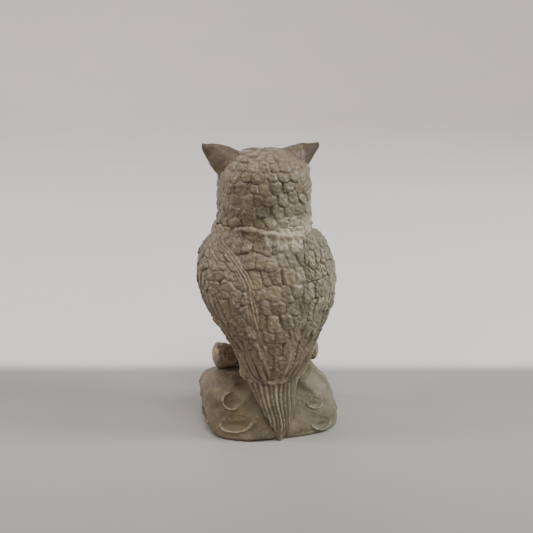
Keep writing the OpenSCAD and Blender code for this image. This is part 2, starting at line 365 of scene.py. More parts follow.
@dataclass(frozen=True)
class FeatherCoat:
    """Rows of overlapping carved feathers, the upper rows over the lower.

    Every point belongs to the uppermost feather whose outline holds it.

    Attributes:
        seed: Picks the random spread.
        pillow: Height of a feather's rounded middle.
        soft: Width over which a feather's edge rounds off.
        tilt: How far the tip stands above the root.
        turn: Greatest slope that a feather leans sideways by.
        groove: Depth of the cut round each feather.
        power: The outline's power. 2 is round, and more is squarer.
        bow: Length of the rounded end, in half widths.
        wide: Width of a feather, in columns.
        stray: Random spread of a feather's place, in cells.
        shaft: Height of the middle quill.
        reach: Length of a feather, in rows.
        cut_width: Width of the cut round a feather.
        lip_width: Width of the pale line of polish and painted highlight along a lip.
    """

    seed: int
    pillow: float = 0.5
    soft: float = 1.3
    tilt: float = 0.5
    turn: float = 0.16
    groove: float = 0.2
    power: float = 2.5
    bow: float = 0.95
    wide: float = 1.04
    stray: float = 0.26
    shaft: float = 0.0
    reach: ClassVar[float] = 2.4
    cut_width: ClassVar[float] = 0.42
    lip_width: ClassVar[float] = 0.36

    def inward(self, x: np.ndarray, past: np.ndarray, half: np.ndarray) -> np.ndarray:
        """Distance inwards from a feather's outline, which is a straight-sided U.

        The superellipse distance g = ((x / half)^n + (past / bow)^n)^(1/n) is 1 on the outline, and
        1 - g is divided by the steepness of g to give a length.

        Args:
            x: Distance aside from the feather's middle.
            past: Distance past the start of its bow.
            half: Half its width.

        Returns:
            The distance, negative outside the outline.
        """
        bow = self.bow * half
        u = np.abs(x) / half
        v = np.maximum(past, 0) / bow
        g = np.maximum((u**self.power + v**self.power) ** (1 / self.power), 1e-4)
        lean = self.power - 1
        steep = g**-lean * np.hypot(u**lean / half, v**lean / bow)
        return (1 - g) / np.maximum(steep, 1e-3)

    def lay(
        self,
        share: np.ndarray,
        down: np.ndarray,
        width: np.ndarray,
        pitch: np.ndarray | float,
        counts: np.ndarray,
    ) -> tuple[np.ndarray, Marks, np.ndarray]:
        """Carves the coat over a surface.

        Args:
            share: Place across, 0 to 1.
            down: Place down, in rows.
            width: Length that share covers, at every point.
            pitch: Length of one row, at every point.
            counts: Number of feathers in each row.

        Returns:
            The height, the marks, and 1 where a feather lies.
        """
        shape = np.broadcast(share, down, width, pitch).shape
        share, down, width, pitch = (np.broadcast_to(v, shape) for v in (share, down, width, pitch))
        length = self.reach * pitch
        taken = np.zeros(shape, bool)
        cover = np.full(shape, 9.0)
        kept = [np.zeros(shape)] * 8
        # Rows whose feathers can reach a point, the uppermost first.
        for step in (-1, 0, 1, 2):
            row = np.floor(down).astype(int) + step
            real = (row >= 0) & (row < len(counts))
            count = counts[np.clip(row, 0, len(counts) - 1)]
            cell = width / count
            place = share * count - 0.5 * (row % 2)
            for shift in (0, 1):
                column = np.floor(place) + shift
                random = (chance(row, column % count, self.seed + k) - 0.5 for k in range(8))
                sideways, downwards, size, skew, hue, puff, roll, dip = random
                y = (down - row - 1 - 1.3 * self.stray * downwards) * pitch + length
                x = (place - column - self.stray * sideways) * cell + 0.22 * skew * (y - 0.6 * length)
                half = 0.5 * self.wide * cell * (1 + 0.24 * size)
                past = y - length + self.bow * half
                gap = self.inward(x, past, half)
                inside = real & (gap > 0) & (y > 0)
                fresh = inside & ~taken
                above = real & ~inside & ~taken & (y > 0)
                cover = np.where(above, np.minimum(cover, np.maximum(-gap, 0)), cover)
                lip_highlight_pick = ease(roll * puff, -0.02, 0.1)
                lean = roll * x + dip * past
                found = (gap, y / length, x, hue + 0.5, 1 + 0.8 * puff, lean, lip_highlight_pick, dip + 0.5)
                kept = [np.where(fresh, new, old) for new, old in zip(found, kept)]
                taken |= fresh
        own, along, aside, tone, swell, lean, lip_highlight_pick, cut_shade_strength = kept
        # Painted shade in the cut round each feather, stronger in some feathers than in others.
        crevice = np.maximum(bell(own, self.cut_width), bell(cover, self.cut_width)) * taken
        crevice *= 0.45 + 0.75 * cut_shade_strength
        rise = dome(own / self.soft) * (0.45 + 0.55 * dome(cover / self.soft))
        height = (swell * self.pillow + 2 * self.turn * lean) * rise + self.tilt * along
        height += self.shaft * bell(aside, 0.28) * dome(own / self.soft) - self.groove * crevice
        # Painted highlight, with polish, on the lip below an upper feather and on the tip of some feathers.
        tip_lip = 0.5 * bell(own - 0.8, self.lip_width) * ease(along, 0.8, 1)
        ledge = np.maximum(bell(cover - 0.85, self.lip_width), tip_lip)
        marks = Marks(crevice, np.where(taken, tone, 0.5), 0.75 * ledge * lip_highlight_pick * taken)
        return height * taken, marks, taken.astype(float)


@dataclass(frozen=True)
class Quills:
    """Long parallel feathers: each is a low ridge between two cuts, with a fine shaft and barbs.

    Attributes:
        seed: Picks the random spread.
        count: Number of feathers across.
        ridge: Height of a feather's middle.
        cut: Depth of the cut between two feathers.
        barb: Height of the slanting fine lines.
    """

    seed: int
    count: int
    ridge: float = 0.55
    cut: float = 0.35
    barb: float = 0.05

    def lay(self, share: np.ndarray, down: np.ndarray, width: np.ndarray) -> tuple[np.ndarray, Marks]:
        """Carves the feathers.

        The distance to the nearest cut comes from the fraction of share * count, and the cuts wander
        by a slow sine along their length.

        Args:
            share: Place across, 0 to 1.
            down: Length down from the top.
            width: Length that share covers.

        Returns:
            The height and the marks.
        """
        place = share * self.count + 0.12 * np.sin(down * 0.21 + share * 9 + self.seed)
        number = np.floor(place)
        cell = width / self.count
        aside = place - number - 0.5
        edge = (0.5 - np.abs(aside)) * cell
        tone = chance(number, number * 0, self.seed)
        # Painted shade in the cuts between feathers.
        crevice = bell(edge, 0.34)
        height = self.ridge * dome(edge / (0.5 * cell)) * (0.8 + 0.5 * tone)
        height += 0.35 * aside * (tone - 0.3) - self.cut * crevice + 0.14 * bell(aside * cell, 0.22)
        height += self.barb * np.sin((down + 2.2 * np.abs(aside) * cell) * TURN)
        # Polish and painted highlight along the middle of some feathers.
        polish_and_highlight = bell(aside * cell, 0.5) * 0.7 * chance(number, number + 3, self.seed)
        return height, Marks(crevice, tone, polish_and_highlight)


# ---------------------------------------------------------------- shader maths


class Number:
    """A shader number that Python's operators work on; each operation adds a Math node."""

    def __init__(self, wiring: "Wiring", socket: bpy.types.NodeSocket) -> None:
        """Wraps an output socket."""
        self.wiring = wiring
        self.socket = socket

    def _math(self, operation: str, first: "Number | float", second: "Number | float") -> "Number":
        """A Math node of two values.

        Args:
            operation: The node's operation.
            first: Left-hand value.
            second: Right-hand value.

        Returns:
            The result.
        """
        return self.wiring.node("ShaderNodeMath", {"operation": operation}, {0: first, 1: second})

    def __add__(self, other: "Number | float") -> "Number":
        """Sum."""
        return self._math("ADD", self, other)

    def __sub__(self, other: "Number | float") -> "Number":
        """Difference."""
        return self._math("SUBTRACT", self, other)

    def __mul__(self, other: "Number | float") -> "Number":
        """Product."""
        return self._math("MULTIPLY", self, other)

    def __rsub__(self, other: float) -> "Number":
        """Difference, from a plain number."""
        return self._math("SUBTRACT", other, self)

    __radd__ = __add__
    __rmul__ = __mul__

    def between(self, start: float, end: float) -> "Number":
        """Smooth step from 0 at start to 1 at end.

        Args:
            start: Where the step begins.
            end: Where it is complete.

        Returns:
            A number from 0 to 1.
        """
        ends = {"Value": self, "From Min": start, "From Max": end}
        return self.wiring.node("ShaderNodeMapRange", {"interpolation_type": "SMOOTHSTEP"}, ends)


class Wiring:
    """Adds nodes to one material."""

    def __init__(self, name: str) -> None:
        """Starts a material with no shader yet.

        Args:
            name: The material's name.
        """
        self.material = bpy.data.materials.new(name)
        self.material.use_nodes = True
        self.tree = self.material.node_tree
        self.tree.nodes.clear()
        self.place = self.node("ShaderNodeTexCoord", {}, {}, "Object")

    def node(self, kind: str, settings: dict, sockets: dict, output: str | int = 0) -> Number:
        """Makes any node.

        Args:
            kind: The node's type.
            settings: Its own settings, set first.
            sockets: Values or links of its input sockets.
            output: The output to return.

        Returns:
            That output.
        """
        made = self.tree.nodes.new(kind)
        for key, value in settings.items():
            setattr(made, key, value)
        for key, value in sockets.items():
            if isinstance(value, Number):
                self.tree.links.new(value.socket, made.inputs[key])
            else:
                made.inputs[key].default_value = value
        return Number(self, made.outputs[output] if made.outputs else None)

    def noise(self, size: float, detail: float = 3.0, rough: float = 0.5, offset: float = 0.0) -> Number:
        """Noise in object space.

        Args:
            size: Width of its blobs, in millimetres.
            detail: Number of finer layers.
            rough: Strength of the finer layers.
            offset: Moves the pattern, so that two of one size differ.

        Returns:
            A number about 0.5.
        """
        moved = self.node("ShaderNodeMapping", {}, {"Vector": self.place, "Location": (offset, offset, 0)})
        sockets = {"Vector": moved, "Scale": 1 / (size * MM), "Detail": detail, "Roughness": rough}
        return self.node("ShaderNodeTexNoise", {}, sockets)

    def mark(self, name: str) -> Number:
        """One of the surface's own marks."""
        return self.node("ShaderNodeAttribute", {"attribute_name": name}, {}, "Fac")

    def blend(self, share: Number | float, first: "Number | Colour", second: "Number | Colour") -> Number:
        """A colour between two colours.

        Args:
            share: 0 gives the first, 1 the second.
            first: A colour or a link.
            second: A colour or a link.

        Returns:
            The colour.
        """
        pair = [c if isinstance(c, Number) else (*c, 1.0) for c in (first, second)]
        return self.node("ShaderNodeMix", {"data_type": "RGBA"}, {0: share, 6: pair[0], 7: pair[1]}, 2)

    def close(self, sockets: dict) -> bpy.types.Material:
        """Ends the material in a Principled shader.

        Args:
            sockets: Values or links of the shader's sockets.

        Returns:
            The material.
        """
        shader = self.node("ShaderNodeBsdfPrincipled", {}, sockets)
        self.node("ShaderNodeOutputMaterial", {}, {"Surface": shader})
        return self.material


def linear(red: int, green: int, blue: int) -> Colour:
    """A colour for the shader from its 0 to 255 screen values."""
    shares = [v / 255 for v in (red, green, blue)]
    return tuple(v / 12.92 if v <= 0.04045 else ((v + 0.055) / 1.055) ** 2.4 for v in shares)


@dataclass(frozen=True)
class StoneFinish:
    """Waxed stone-look casting: mottled, with painted shade in its cuts, paler and glossier where handled,
    and painted highlights on lips.

    Attributes:
        name: The material's name.
        slot: The record's material slot; not used.
        body: Main colour.
        warm: Colour of its yellow-brown patches.
        cool: Colour of its grey-green patches.
        dark_tone_and_cut_shade: Colour of duller feathers, and of the painted shade in the cuts and hollows.
        pale: Colour of pale flecks, of polished lips and of painted highlights.
        roughness: Roughness of open surface.
        coat: Strength of the wax.
        grain: Depth of the fine grain, in millimetres.
        fleck: Strength of the pale flecks.
    """

    name: str
    slot: str
    body: Colour
    warm: Colour
    cool: Colour
    dark_tone_and_cut_shade: Colour
    pale: Colour
    roughness: float = 0.5
    coat: float = 0.25
    grain: float = 0.55
    fleck: float = 0.42

    @cache
    def make(self) -> bpy.types.Material:
        """Builds the material, once.

        Its main colour is blended in turn with warm patches, a cool cast, the dark of duller feathers,
        pale flecks, painted shade in the cuts and hollows, and the pale of polished lips with painted
        highlights.

        Returns:
            The material.
        """
        w = Wiring(self.name)
        crevice, tone, polish_and_highlight = (w.mark(name) for name in MARK_NAMES)
        broad, patch = w.noise(34, 2), w.noise(9, 4, 0.6, 0.3)
        speck, pit = w.noise(2.2, 5, 0.72), w.noise(0.8, 2, 0.6, 0.7)
        side = w.node("ShaderNodeSeparateXYZ", {}, {0: w.place}, 0)
        green = (broad + side * -9.0).between(0.35, 0.85)
        shade = (tone * 0.4 + speck * 0.6).between(0.3, 0.68)
        fleck = (speck * 0.6 + pit * 0.4).between(0.5, 0.68)
        # Painted shade: the crevice mark, made patchy by noise, blends the dark colour into cuts and hollows.
        cut_shade_patchiness = (patch + speck).between(0.85, 1.15)
        cut_shade_share = (crevice * (0.35 + 0.6 * cut_shade_patchiness)).between(0.05, 0.9)
        # Polish and painted highlight: the lip mark, broken up by noise, blends in the pale colour and lowers
        # the roughness.
        polish_and_highlight_share = (polish_and_highlight * (0.4 + 0.7 * speck.between(0.36, 0.6))).between(0.2, 0.9)
        layers = (
            (patch.between(0.35, 0.72) * 0.7, self.warm), (green * 0.75, self.cool),
            ((1 - shade) * 0.32, self.dark_tone_and_cut_shade), (fleck * self.fleck, self.pale),
            (cut_shade_share * 0.44, self.dark_tone_and_cut_shade), (polish_and_highlight_share * 0.56, self.pale),
        )
        colour = self.body
        for share, other in layers:
            colour = w.blend(share, colour, other)
        height = speck * 0.8 + pit * 0.25 + patch * 0.4
        bump = w.node("ShaderNodeBump", {}, {"Strength": 0.9, "Distance": self.grain * MM, "Height": height})
        rough = self.roughness + 0.3 * (speck - 0.5) + 0.16 * crevice - 0.22 * polish_and_highlight_share
        return w.close({
            "Base Color": colour, "Roughness": rough, "Normal": bump, "Coat Weight": self.coat,
            "Coat Roughness": 0.3, "IOR": 1.5,
        })


class Palette:
    """The figurine's finishes."""

    FEATHERS = StoneFinish(
        "waxed feather stone", "feathers", linear(121, 105, 86), linear(132, 113, 82),
        linear(125, 121, 99), linear(54, 45, 36), linear(198, 186, 161),
    )
    HORN = StoneFinish(
        "polished brown tufts", "horn", linear(92, 78, 60), linear(98, 79, 55),
        linear(94, 85, 67), linear(46, 36, 28), linear(136, 118, 92), 0.58, 0.06, 0.3,
    )
    ROCK = StoneFinish(
        "waxed rock", "rock", linear(117, 101, 82), linear(129, 111, 79),
        linear(116, 115, 95), linear(56, 47, 39), linear(196, 184, 154), 0.56, 0.06, 0.5, 0.24,
    )
    BARK = StoneFinish(
        "bark brown stone", "log", linear(136, 118, 98), linear(146, 124, 90),
        linear(136, 127, 108), linear(52, 42, 34), linear(190, 166, 104), 0.5, 0.25, 0.5,
    )
    EYE = StoneFinish(
        "polished eye", "eye", linear(84, 66, 48), linear(98, 74, 46),
        linear(82, 70, 54), linear(22, 18, 15), linear(132, 110, 82), 0.3, 0.35, 0.03,
    )


# ---------------------------------------------------------------- mesh making


class Casting:
    """One finished piece: sheets put together as one mesh, dressed and given to the frame."""

    def __init__(self, name: str) -> None:
        """Starts an empty piece.

        Args:
            name: The piece's name.
        """
        self.name = name
        self.points: list[np.ndarray] = []
        self.marks: list[np.ndarray] = []
        self.faces: list[np.ndarray] = []
        self.count = 0

    def add(self, sheet: Sheet, marks: Marks | None = None) -> "Casting":
        """Adds a sheet, its first and last row closed by fans of triangles.

        A triangle is stored as a quad with its last corner repeated.

        Args:
            sheet: The sheet.
            marks: Its marks, or None for a plain surface.

        Returns:
            The casting.
        """
        rows, columns = sheet.points.shape[:2]
        marks = marks or Marks.plain((rows, columns))
        values = np.stack([np.broadcast_to(layer, (rows, columns)) for layer in marks.layers()], -1)
        grid = self.count + np.arange(rows * columns).reshape(rows, columns)
        after = np.roll(grid, -1, 1)
        hub = np.full(columns, self.count + rows * columns)
        self.faces += [
            np.stack([grid[:-1], grid[1:], after[1:], after[:-1]], -1).reshape(-1, 4),
            np.stack([grid[0], after[0], hub, hub], -1),
            np.stack([after[-1], grid[-1], hub + 1, hub + 1], -1),
        ]
        self.points += [sheet.points.reshape(-1, 3), sheet.points[[0, -1]].mean(1)]
        self.marks += [values.reshape(-1, 3), values[[0, -1]].mean(1)]
        self.count += rows * columns + 2
        return self

    def finish(self, finish: StoneFinish, *nodes: str) -> bpy.types.Object:
        """Makes the Blender object, dresses it and gives it to the frame.

        Args:
            finish: The piece's finish.
            nodes: The CAD nodes that it stands for.

        Returns:
            The object.
        """
        corners = np.concatenate(self.faces)
        sides = np.where(corners[:, 2] == corners[:, 3], 3, 4)
        loops = corners[np.arange(4) < sides[:, None]]
        mesh = bpy.data.meshes.new(self.name)
        mesh.vertices.add(self.count)
        mesh.vertices.foreach_set("co", (np.concatenate(self.points) * MM).astype(np.float32).ravel())
        mesh.loops.add(len(loops))
        mesh.loops.foreach_set("vertex_index", loops.astype(np.int32))
        mesh.polygons.add(len(sides))
        mesh.polygons.foreach_set("loop_start", (np.cumsum(sides) - sides).astype(np.int32))
        mesh.update(calc_edges=True)
        mesh.validate()
        mesh.shade_smooth()
        values = np.concatenate(self.marks).astype(np.float32)
        for k, name in enumerate(MARK_NAMES):
            layer = mesh.attributes.new(name, "FLOAT", "POINT")
            layer.data.foreach_set("value", np.ascontiguousarray(values[:, k]))
        mesh.materials.append(finish.make())
        piece = bpy.data.objects.new(self.name, mesh)
        bpy.context.scene.collection.objects.link(piece)
        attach(piece, "root")
        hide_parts(*nodes)
        log.info("%s: %d faces, for %s", self.name, len(sides), ", ".join(nodes))
        return piece


def loft(table: Table, power: float, rows: int, columns: int) -> Sheet:
    """A sheet through a station table, with even steps up its profile and round its middle.

    Args:
        table: Station table of heights and ovals.
        power: Power of the ovals.
        rows: Rings up it.
        columns: Points round it.

    Returns:
        The sheet.
    """
    stations = rows_at(table, even_keys(table, rows))
    angle = even_angles(rows_at(table, np.array(table[len(table) // 2][0])), power, columns)
    return Sheet(oval(stations[:, None, :], angle[None, :], power))


def lids(sheet: Sheet, rings: int) -> Sheet:
    """The sheet with its last row drawn in to a point by a few more rings.

    Args:
        sheet: A closed sheet.
        rings: Number of rings to add.

    Returns:
        The longer sheet.
    """
    last = sheet.points[-1]
    shares = np.linspace(0, 1, rings + 2)[1:-1, None, None]
    return Sheet(np.concatenate([sheet.points, last + (last.mean(0) - last) * shares]))


# ---------------------------------------------------------------- the figurine


@dataclass(frozen=True)
class Gouge:
    """A curved gouge in the rock: a dish with a raised lip along its lower edge.

    Attributes:
        angle: Where it lies round the plinth, in degrees from the back.
        height: Its height above the table.
        half_width: Half its width.
        half_height: Half its height.
        turn: How far its lip is turned towards the owl's left, in degrees.
    """

    angle: float
    height: float
    half_width: float
    half_height: float
    turn: float = 0.0

    def spread(
        self, points: np.ndarray, middle: np.ndarray, out: np.ndarray
    ) -> tuple[np.ndarray, np.ndarray]:
        """Where points lie in the gouge, which is an ellipse in the tangent plane at its middle.

        Args:
            points: The points.
            middle: The gouge's middle.
            out: The rock's normal there.

        Returns:
            Each point's r, which is 1 on the ellipse, and a share that is 1 on the lower side.
        """
        across = np.cross([0, 0, 1], -out)
        across /= np.linalg.norm(across)
        up = np.cross(across, out)
        up *= np.sign(up[2])
        offset = points - middle
        aside, above = offset @ across, offset @ up
        cosine, sine = math.cos(math.radians(self.turn)), math.sin(math.radians(self.turn))
        x = aside * cosine + above * sine
        y = above * cosine - aside * sine
        elsewhere = np.abs(offset @ out) > 9
        r = np.hypot(x / self.half_width, y / self.half_height) + 9 * elsewhere
        return r, ease(-y / self.half_height, -0.35, 0.45)


@dataclass
class Plinth:
    """The rock plinth: a squarish mound with gouges cut all round it.

    Attributes:
        middle_y: The mound's middle, front to back.
        power: Power of its ovals.
        dish: Depth of a full-size gouge.
        lip: Height of its lip.
        inset: How far the skin lies in, so that the lips stay in the CAD plinth.
        rows: Rings up it.
        columns: Points round it.
        hollow: Middle of the hollow under the log, beside the tail, carved in and painted with shadow.
        hollow_size: Its reach along X, Y and Z.
        gouges: The gouges.
    """

    middle_y: float = -2.7
    power: float = 3.05
    dish: float = 1.5
    lip: float = 0.75
    inset: float = 0.75
    rows: int = 190
    columns: int = 440
    hollow: tuple[float, float, float] = (16, 10, 30)
    hollow_size: tuple[float, float, float] = (5, 7, 4.5)
    gouges: tuple[Gouge, ...] = (
        Gouge(26, 10.4, 8.2, 4.8, -6), Gouge(25.5, 22.4, 4.2, 5.2, 66), Gouge(-33, 6.0, 5.2, 3.2, 4),
        Gouge(-31, 17.4, 4.3, 2.7, 14), Gouge(84, 9, 6.0, 4.6, 10), Gouge(-80, 13, 6.5, 4.6, -14),
        Gouge(98, 18, 4.2, 3.4, 30), Gouge(-105, 8, 5.4, 3.6, 0), Gouge(140, 9, 8.0, 4.6, 6),
        Gouge(158, 20, 4.6, 4.0, -60), Gouge(178, 9, 7.4, 4.4, 0), Gouge(-162, 19, 5.0, 3.6, 20),
        Gouge(-140, 10, 7.0, 4.8, -8),
    )

    def table(self) -> Table:
        """Stations of the mound, worked out from the CAD plinth's box.

        Returns:
            The station table.
        """
        w, d = half_size("rock_plinth")[:2]
        h, y = span("rock_plinth")[1][2], self.middle_y
        return (
            (0, -1.7, y, w - 2.2, d - 1.2, d - 0.6), (2, -1.4, y, w - 0.9, d - 0.4, d),
            (8, -0.8, y, w - 0.2, d - 0.4, d - 0.8), (15, 0.2, y, w - 0.8, d - 1.0, d - 2.2),
            (22, 1.4, y, w - 2.8, d - 2.3, d - 4.6), (27, 1.8, y, w - 6, d - 5, d - 8),
            (h - 1.5, 1.5, y, w - 11.3, d - 9.5, d - 12), (h, 0.8, y, w - 20, d - 16, d - 17),
        )

    def carve(self, sheet: Sheet, table: Table) -> tuple[np.ndarray, Marks]:
        """Height and marks of the rock's surface.

        A gouge's dish has the depth of a power of 1 - r^2, and its lip is a bell curve of r about 1.08, only
        on the lower side, with painted shade inside the lip and a painted highlight on it. A saddle rises to
        the log, and a painted shadow lies in the hollow under it beside the tail.

        Args:
            sheet: The smooth mound.
            table: Its stations.

        Returns:
            The height and the marks.
        """
        p = sheet.points
        height = 0.6 * np.tanh(2.2 * lumps(p * [1, 1, 1.5], 24, 6)) + 0.5 * lumps(p, 13, 3)
        height += 0.16 * lumps(p * [1, 1, 0.6], 6, 4) + 0.05 * lumps(p, 2.8, 5)
        # Painted shade in the low spots of the rock; polish and painted highlight on its high spots.
        low_spots, high_spots = ease(-height, 0.5, 1.3), ease(height, 0.9, 1.8)
        marks = Marks(0.35 * low_spots, 0.5 + 0.5 * lumps(p, 11, 7), 0.35 * high_spots)
        normals = sheet.normals().reshape(-1, 3)
        for gouge in self.gouges:
            station = rows_at(table, np.array(gouge.height))
            middle = oval(station, np.array(math.radians(gouge.angle)), self.power)
            near = np.argmin(((p - middle) ** 2).sum(-1))
            r, lower = gouge.spread(p, middle, normals[near])
            floor = np.clip(1 - r**2, 0, 1)
            depth = self.dish * min(1.0, gouge.half_height / 4.5) * floor**0.6 * (0.35 + 0.65 * lower)
            rim = self.lip * bell(r - 1.08, 0.11) * lower
            height = height * (1 - 0.7 * (floor > 0) * dome(floor * 3)) - depth + rim
            # Painted shade just inside the lower lip, and polish with painted highlight on the lip.
            marks.darken(0.75 * bell(r - 0.86, 0.12) * lower)
            marks.add_polish_and_highlight(bell(r - 1.08, 0.1) * lower)
        log_y, log_foot = centre("perch_log")[1], span("perch_log")[0][2]
        saddle = bell(np.hypot(p[..., 1] - log_y - 3.5, p[..., 2] - log_foot - 1), 3.6)
        hollow = np.linalg.norm((p - self.hollow) / self.hollow_size, axis=-1)
        # Painted shadow in the hollow under the log, which is also carved in below.
        marks.darken(1.6 * bell(hollow, 0.95))
        height -= 2.4 * bell(hollow, 0.9)
        height = height * (1 - 0.6 * saddle) + 1.9 * saddle
        above_foot = ease(p[..., 2], 0.0, 2.5)
        return height * (0.15 + 0.85 * above_foot) - self.inset, marks

    def build(self) -> None:
        """Makes the plinth, flat underneath."""
        table = self.table()
        sheet = lids(loft(table, self.power, self.rows, self.columns), 22)
        height, marks = self.carve(sheet, table)
        carved = sheet.raised(height)
        carved.points[..., 2] = np.maximum(carved.points[..., 2], 0)
        carved.points[0, :, 2] = 0
        Casting("rock").add(carved, marks).finish(Palette.ROCK, "rock_plinth")


@dataclass
class PerchLog:
    """The log under the feet, with bark ridges and smoothed, rounded ends.

    Attributes:
        rings: Rings along it.
        columns: Points in a ring.
        bark_room: How far the wood lies inside the CAD log, to leave room for the bark.
        ring_gap: Distance between the rings of the end grain.
    """

    rings: int = 250
    columns: int = 180
    bark_room: float = 1.1
    ring_gap: float = 1.5

    def build(self) -> None:
        """Makes the log: a radius that varies along and round a straight axis.

        The bark is the dome of a folded sine of the angle; the end grain is a folded sine of the distance
        from the axis.
        """
        low, high = span("perch_log")
        middle, radius = centre("perch_log"), half_size("perch_log")[2]
        share = 0.5 - 0.5 * np.cos(np.linspace(0.06, math.pi - 0.06, self.rings))
        x = low[0] + (high[0] - low[0]) * share
        ends = dome(np.minimum(x - low[0], high[0] - x) / 3.4 + 0.02)
        knob = 0.9 * bell(x - high[0] + 5, 4.5) - 0.7 * bell(x - high[0] + 12, 5)
        path = np.stack([x, np.full_like(x, middle[1]), np.full_like(x, middle[2])], -1)
        sheet = tube(path, (radius - self.bark_room + knob) * ends, np.array([0.0, 1.0, 0.0]), self.columns)
        p = sheet.points
        angle = np.arctan2(p[..., 2] - middle[2], p[..., 1] - middle[1])
        bark = np.abs(np.sin(angle * 6 + 0.9 * lumps(p, 15, 21) + 0.05 * p[..., 0]))
        height = 0.6 * (dome(bark * 1.6) - 0.7) + 0.35 * lumps(p, 8, 22) + 0.15 * lumps(p, 2.6, 23)
        # Painted shade in the bark's furrows; polish and painted highlight on its high ridges.
        marks = Marks(bell(bark, 0.16), 0.5 + 0.4 * lumps(p, 6, 24), 0.5 * ease(height, 0.25, 0.6))
        worn_tip = [high[0] - 1.5, middle[1] + 3, high[2] - 3]
        marks.add_polish_and_highlight(1.3 * bell(np.linalg.norm(p - worn_tip, axis=-1), 2.6))
        cap = ease(ends, 1, 0.86)[:, None]
        from_axis = np.hypot(p[..., 1] - middle[1], p[..., 2] - middle[2])
        grain = bell(np.abs(np.sin(from_axis * math.pi / self.ring_gap)), 0.35)
        # Painted shade in the end grain's ring cuts.
        marks.crevice = 0.7 * (marks.crevice * (1 - cap) + 0.5 * cap * grain)
        height = height * (1 - 0.7 * cap) - 0.12 * cap * grain
        # Painted shadow where the log tucks in beside the body and the rock.
        log_shadow_spot = [15.5, middle[1] + 5, middle[2] - 2]
        marks.darken(1.4 * bell(np.linalg.norm((p - log_shadow_spot) / [4.5, 7, 6], axis=-1), 0.8))
        carved = sheet.raised(height * ease(ends, 0.05, 0.3)[:, None])
        Casting("log").add(carved, marks).finish(Palette.BARK, "perch_log")


@dataclass
class Body:
    """The torso: mantle behind, breast in front, and a lip round the nape.

    Attributes:
        wing_thick: Room that each wing takes beside it.
        power: Power of its ovals.
        rows: Rings up it.
        columns: Points round it.
        inset: How far its skin lies in, to leave room for the carving.
        pitch: Length of a row of breast feathers.
        feathers: Feathers in a row.
        collar_z: Height of the lip round the nape.
        hem_z: Height of the mantle's lower hem.
        coat: Its feathers.
    """

    wing_thick: float = 6.2
    power: float = 2.15
    rows: int = 240
    columns: int = 390
    inset: float = 0.35
    pitch: float = 6.1
    feathers: int = 26
    collar_z: float = 110.4
    hem_z: float = 35.5
    coat: FeatherCoat = FeatherCoat(seed=5, pillow=0.6, soft=1.9, tilt=0.52, power=3.0, bow=0.8)

    def table(self) -> Table:
        """Stations of the torso; the shoulders follow from the space that both wings span."""
        half = (span("left_wing")[1][0] - span("right_wing")[0][0]) / 2 + 0.9 - self.wing_thick
        return (
            (23, 0, 12, 8, 6, 3), (28, 0, 12, 9, 8, 3.5), (32, 0.2, 12.5, 12.4, 9.5, 7),
            (35, 0.1, 12.5, 15.4, 10.5, 11), (39, -0.4, 12, 17, 12.5, 13.4), (45, -0.9, 11, 19, 16.5, 15.8),
            (52, -0.8, 9, 21.2, 23.5, 18.4), (60, -0.5, 7, 24.6, 28, 20.6), (69, 0.4, 5, 27.7, 29.5, 21.8),
            (79, 1.2, 3, half, 28.8, 22.2), (89, 2, 1, half, 27, 21.5), (98, 2.5, -1, 28.2, 24.5, 20.5),
            (105, 2.3, -3, 25.8, 21.5, 19.4), (112, 1.6, -4.4, 24.2, 19.8, 19.4),
        )

    def build(self) -> None:
        """Makes the torso.

        Round the nape a lip slopes down from the owl's left to its right: a bell curve of the height below
        it and a narrower one above it, where the surface draws in under the head. A second lip is the hem.
        """
        table = self.table()
        sheet = lids(loft(table, self.power, self.rows, self.columns), 8)
        p = sheet.points
        z = p[..., 2]
        angle = np.arctan2(p[..., 0] - 1.5, p[..., 1] + 1)
        back = ease(np.cos(angle), -0.2, 0.5)
        pitch = self.pitch + 1.3 * back
        rows = (table[-1][0] - z) * 1.03 / pitch + 0.35 + 0.1 * lumps(p, 11, 35)
        share = (angle / TURN + 0.006 * lumps(p, 14, 34)) % 1
        girth, counts = np.maximum(sheet.girth(), 40), np.full(14, self.feathers)
        height, marks, _ = self.coat.lay(share, rows, girth, pitch, counts)
        above = z - (self.collar_z + 2.6 * np.sin(angle) * back + 0.5 * lumps(p, 17, 36))
        near = bell(above + 2, 3.6) * back
        height = height * (1 - 0.55 * near) + near * (0.55 * lumps(p, 8, 37) + 0.25 * lumps(p, 3.4, 38))
        height = height * (1 - 0.3 * back * ease(z, 75, 50)) + rough_cut(p, 32)
        falls = 0.25 + 2.1 * ease(np.sin(angle), -0.35, 0.25) + 2 * (1 - back)
        lip = ease(np.cos(angle), 0.25, 0.7) * np.where(above < 0, bell(above, 2.6), bell(above, 0.8))
        height += 1.3 * lip - falls * ease(above, 0.3, 2)
        hem = bell(z - self.hem_z - 0.8 * lumps(p, 9, 39), 1.6)
        height += 1.0 * hem * back - 2.2 * ease(z, 33.5, 31.5) * back
        # Below the collar the nape gets the polish-and-highlight mark, more on the owl's right, and less
        # painted shade; the hem's lip gets a painted highlight.
        nape = back * ease(above, -9, -2) * (0.3 + 0.7 * ease(-np.sin(angle), -0.35, 0.25))
        hem_highlight = 0.9 * (ease(z, 41, 36) * back) * bell(z - self.hem_z, 1.2)
        marks.polish_and_highlight = np.maximum(marks.polish_and_highlight * (1 - 0.5 * near), 1.45 * nape + hem_highlight)
        marks.crevice = marks.crevice * (1 - 0.6 * nape)
        piece = Casting("mantle_and_breast").add(sheet.raised(height - self.inset), marks)
        piece.finish(Palette.FEATHERS, "torso")


@dataclass(frozen=True)
class TuftForm:
    """How one ear tuft is shaped.

    Attributes:
        root: Distance of its upper root from the head's middle.
        rise: How far its upper edge arches.
        bulge: How far its lower edge bows out.
        bare: Length from its tip that has no scales, at its lower and at its upper edge.
        bare_shade: Painted shade on the bare part; the right tuft, lit by the right window, gets far more.
    """

    root: float
    rise: float
    bulge: float
    bare: tuple[float, float]
    bare_shade: float


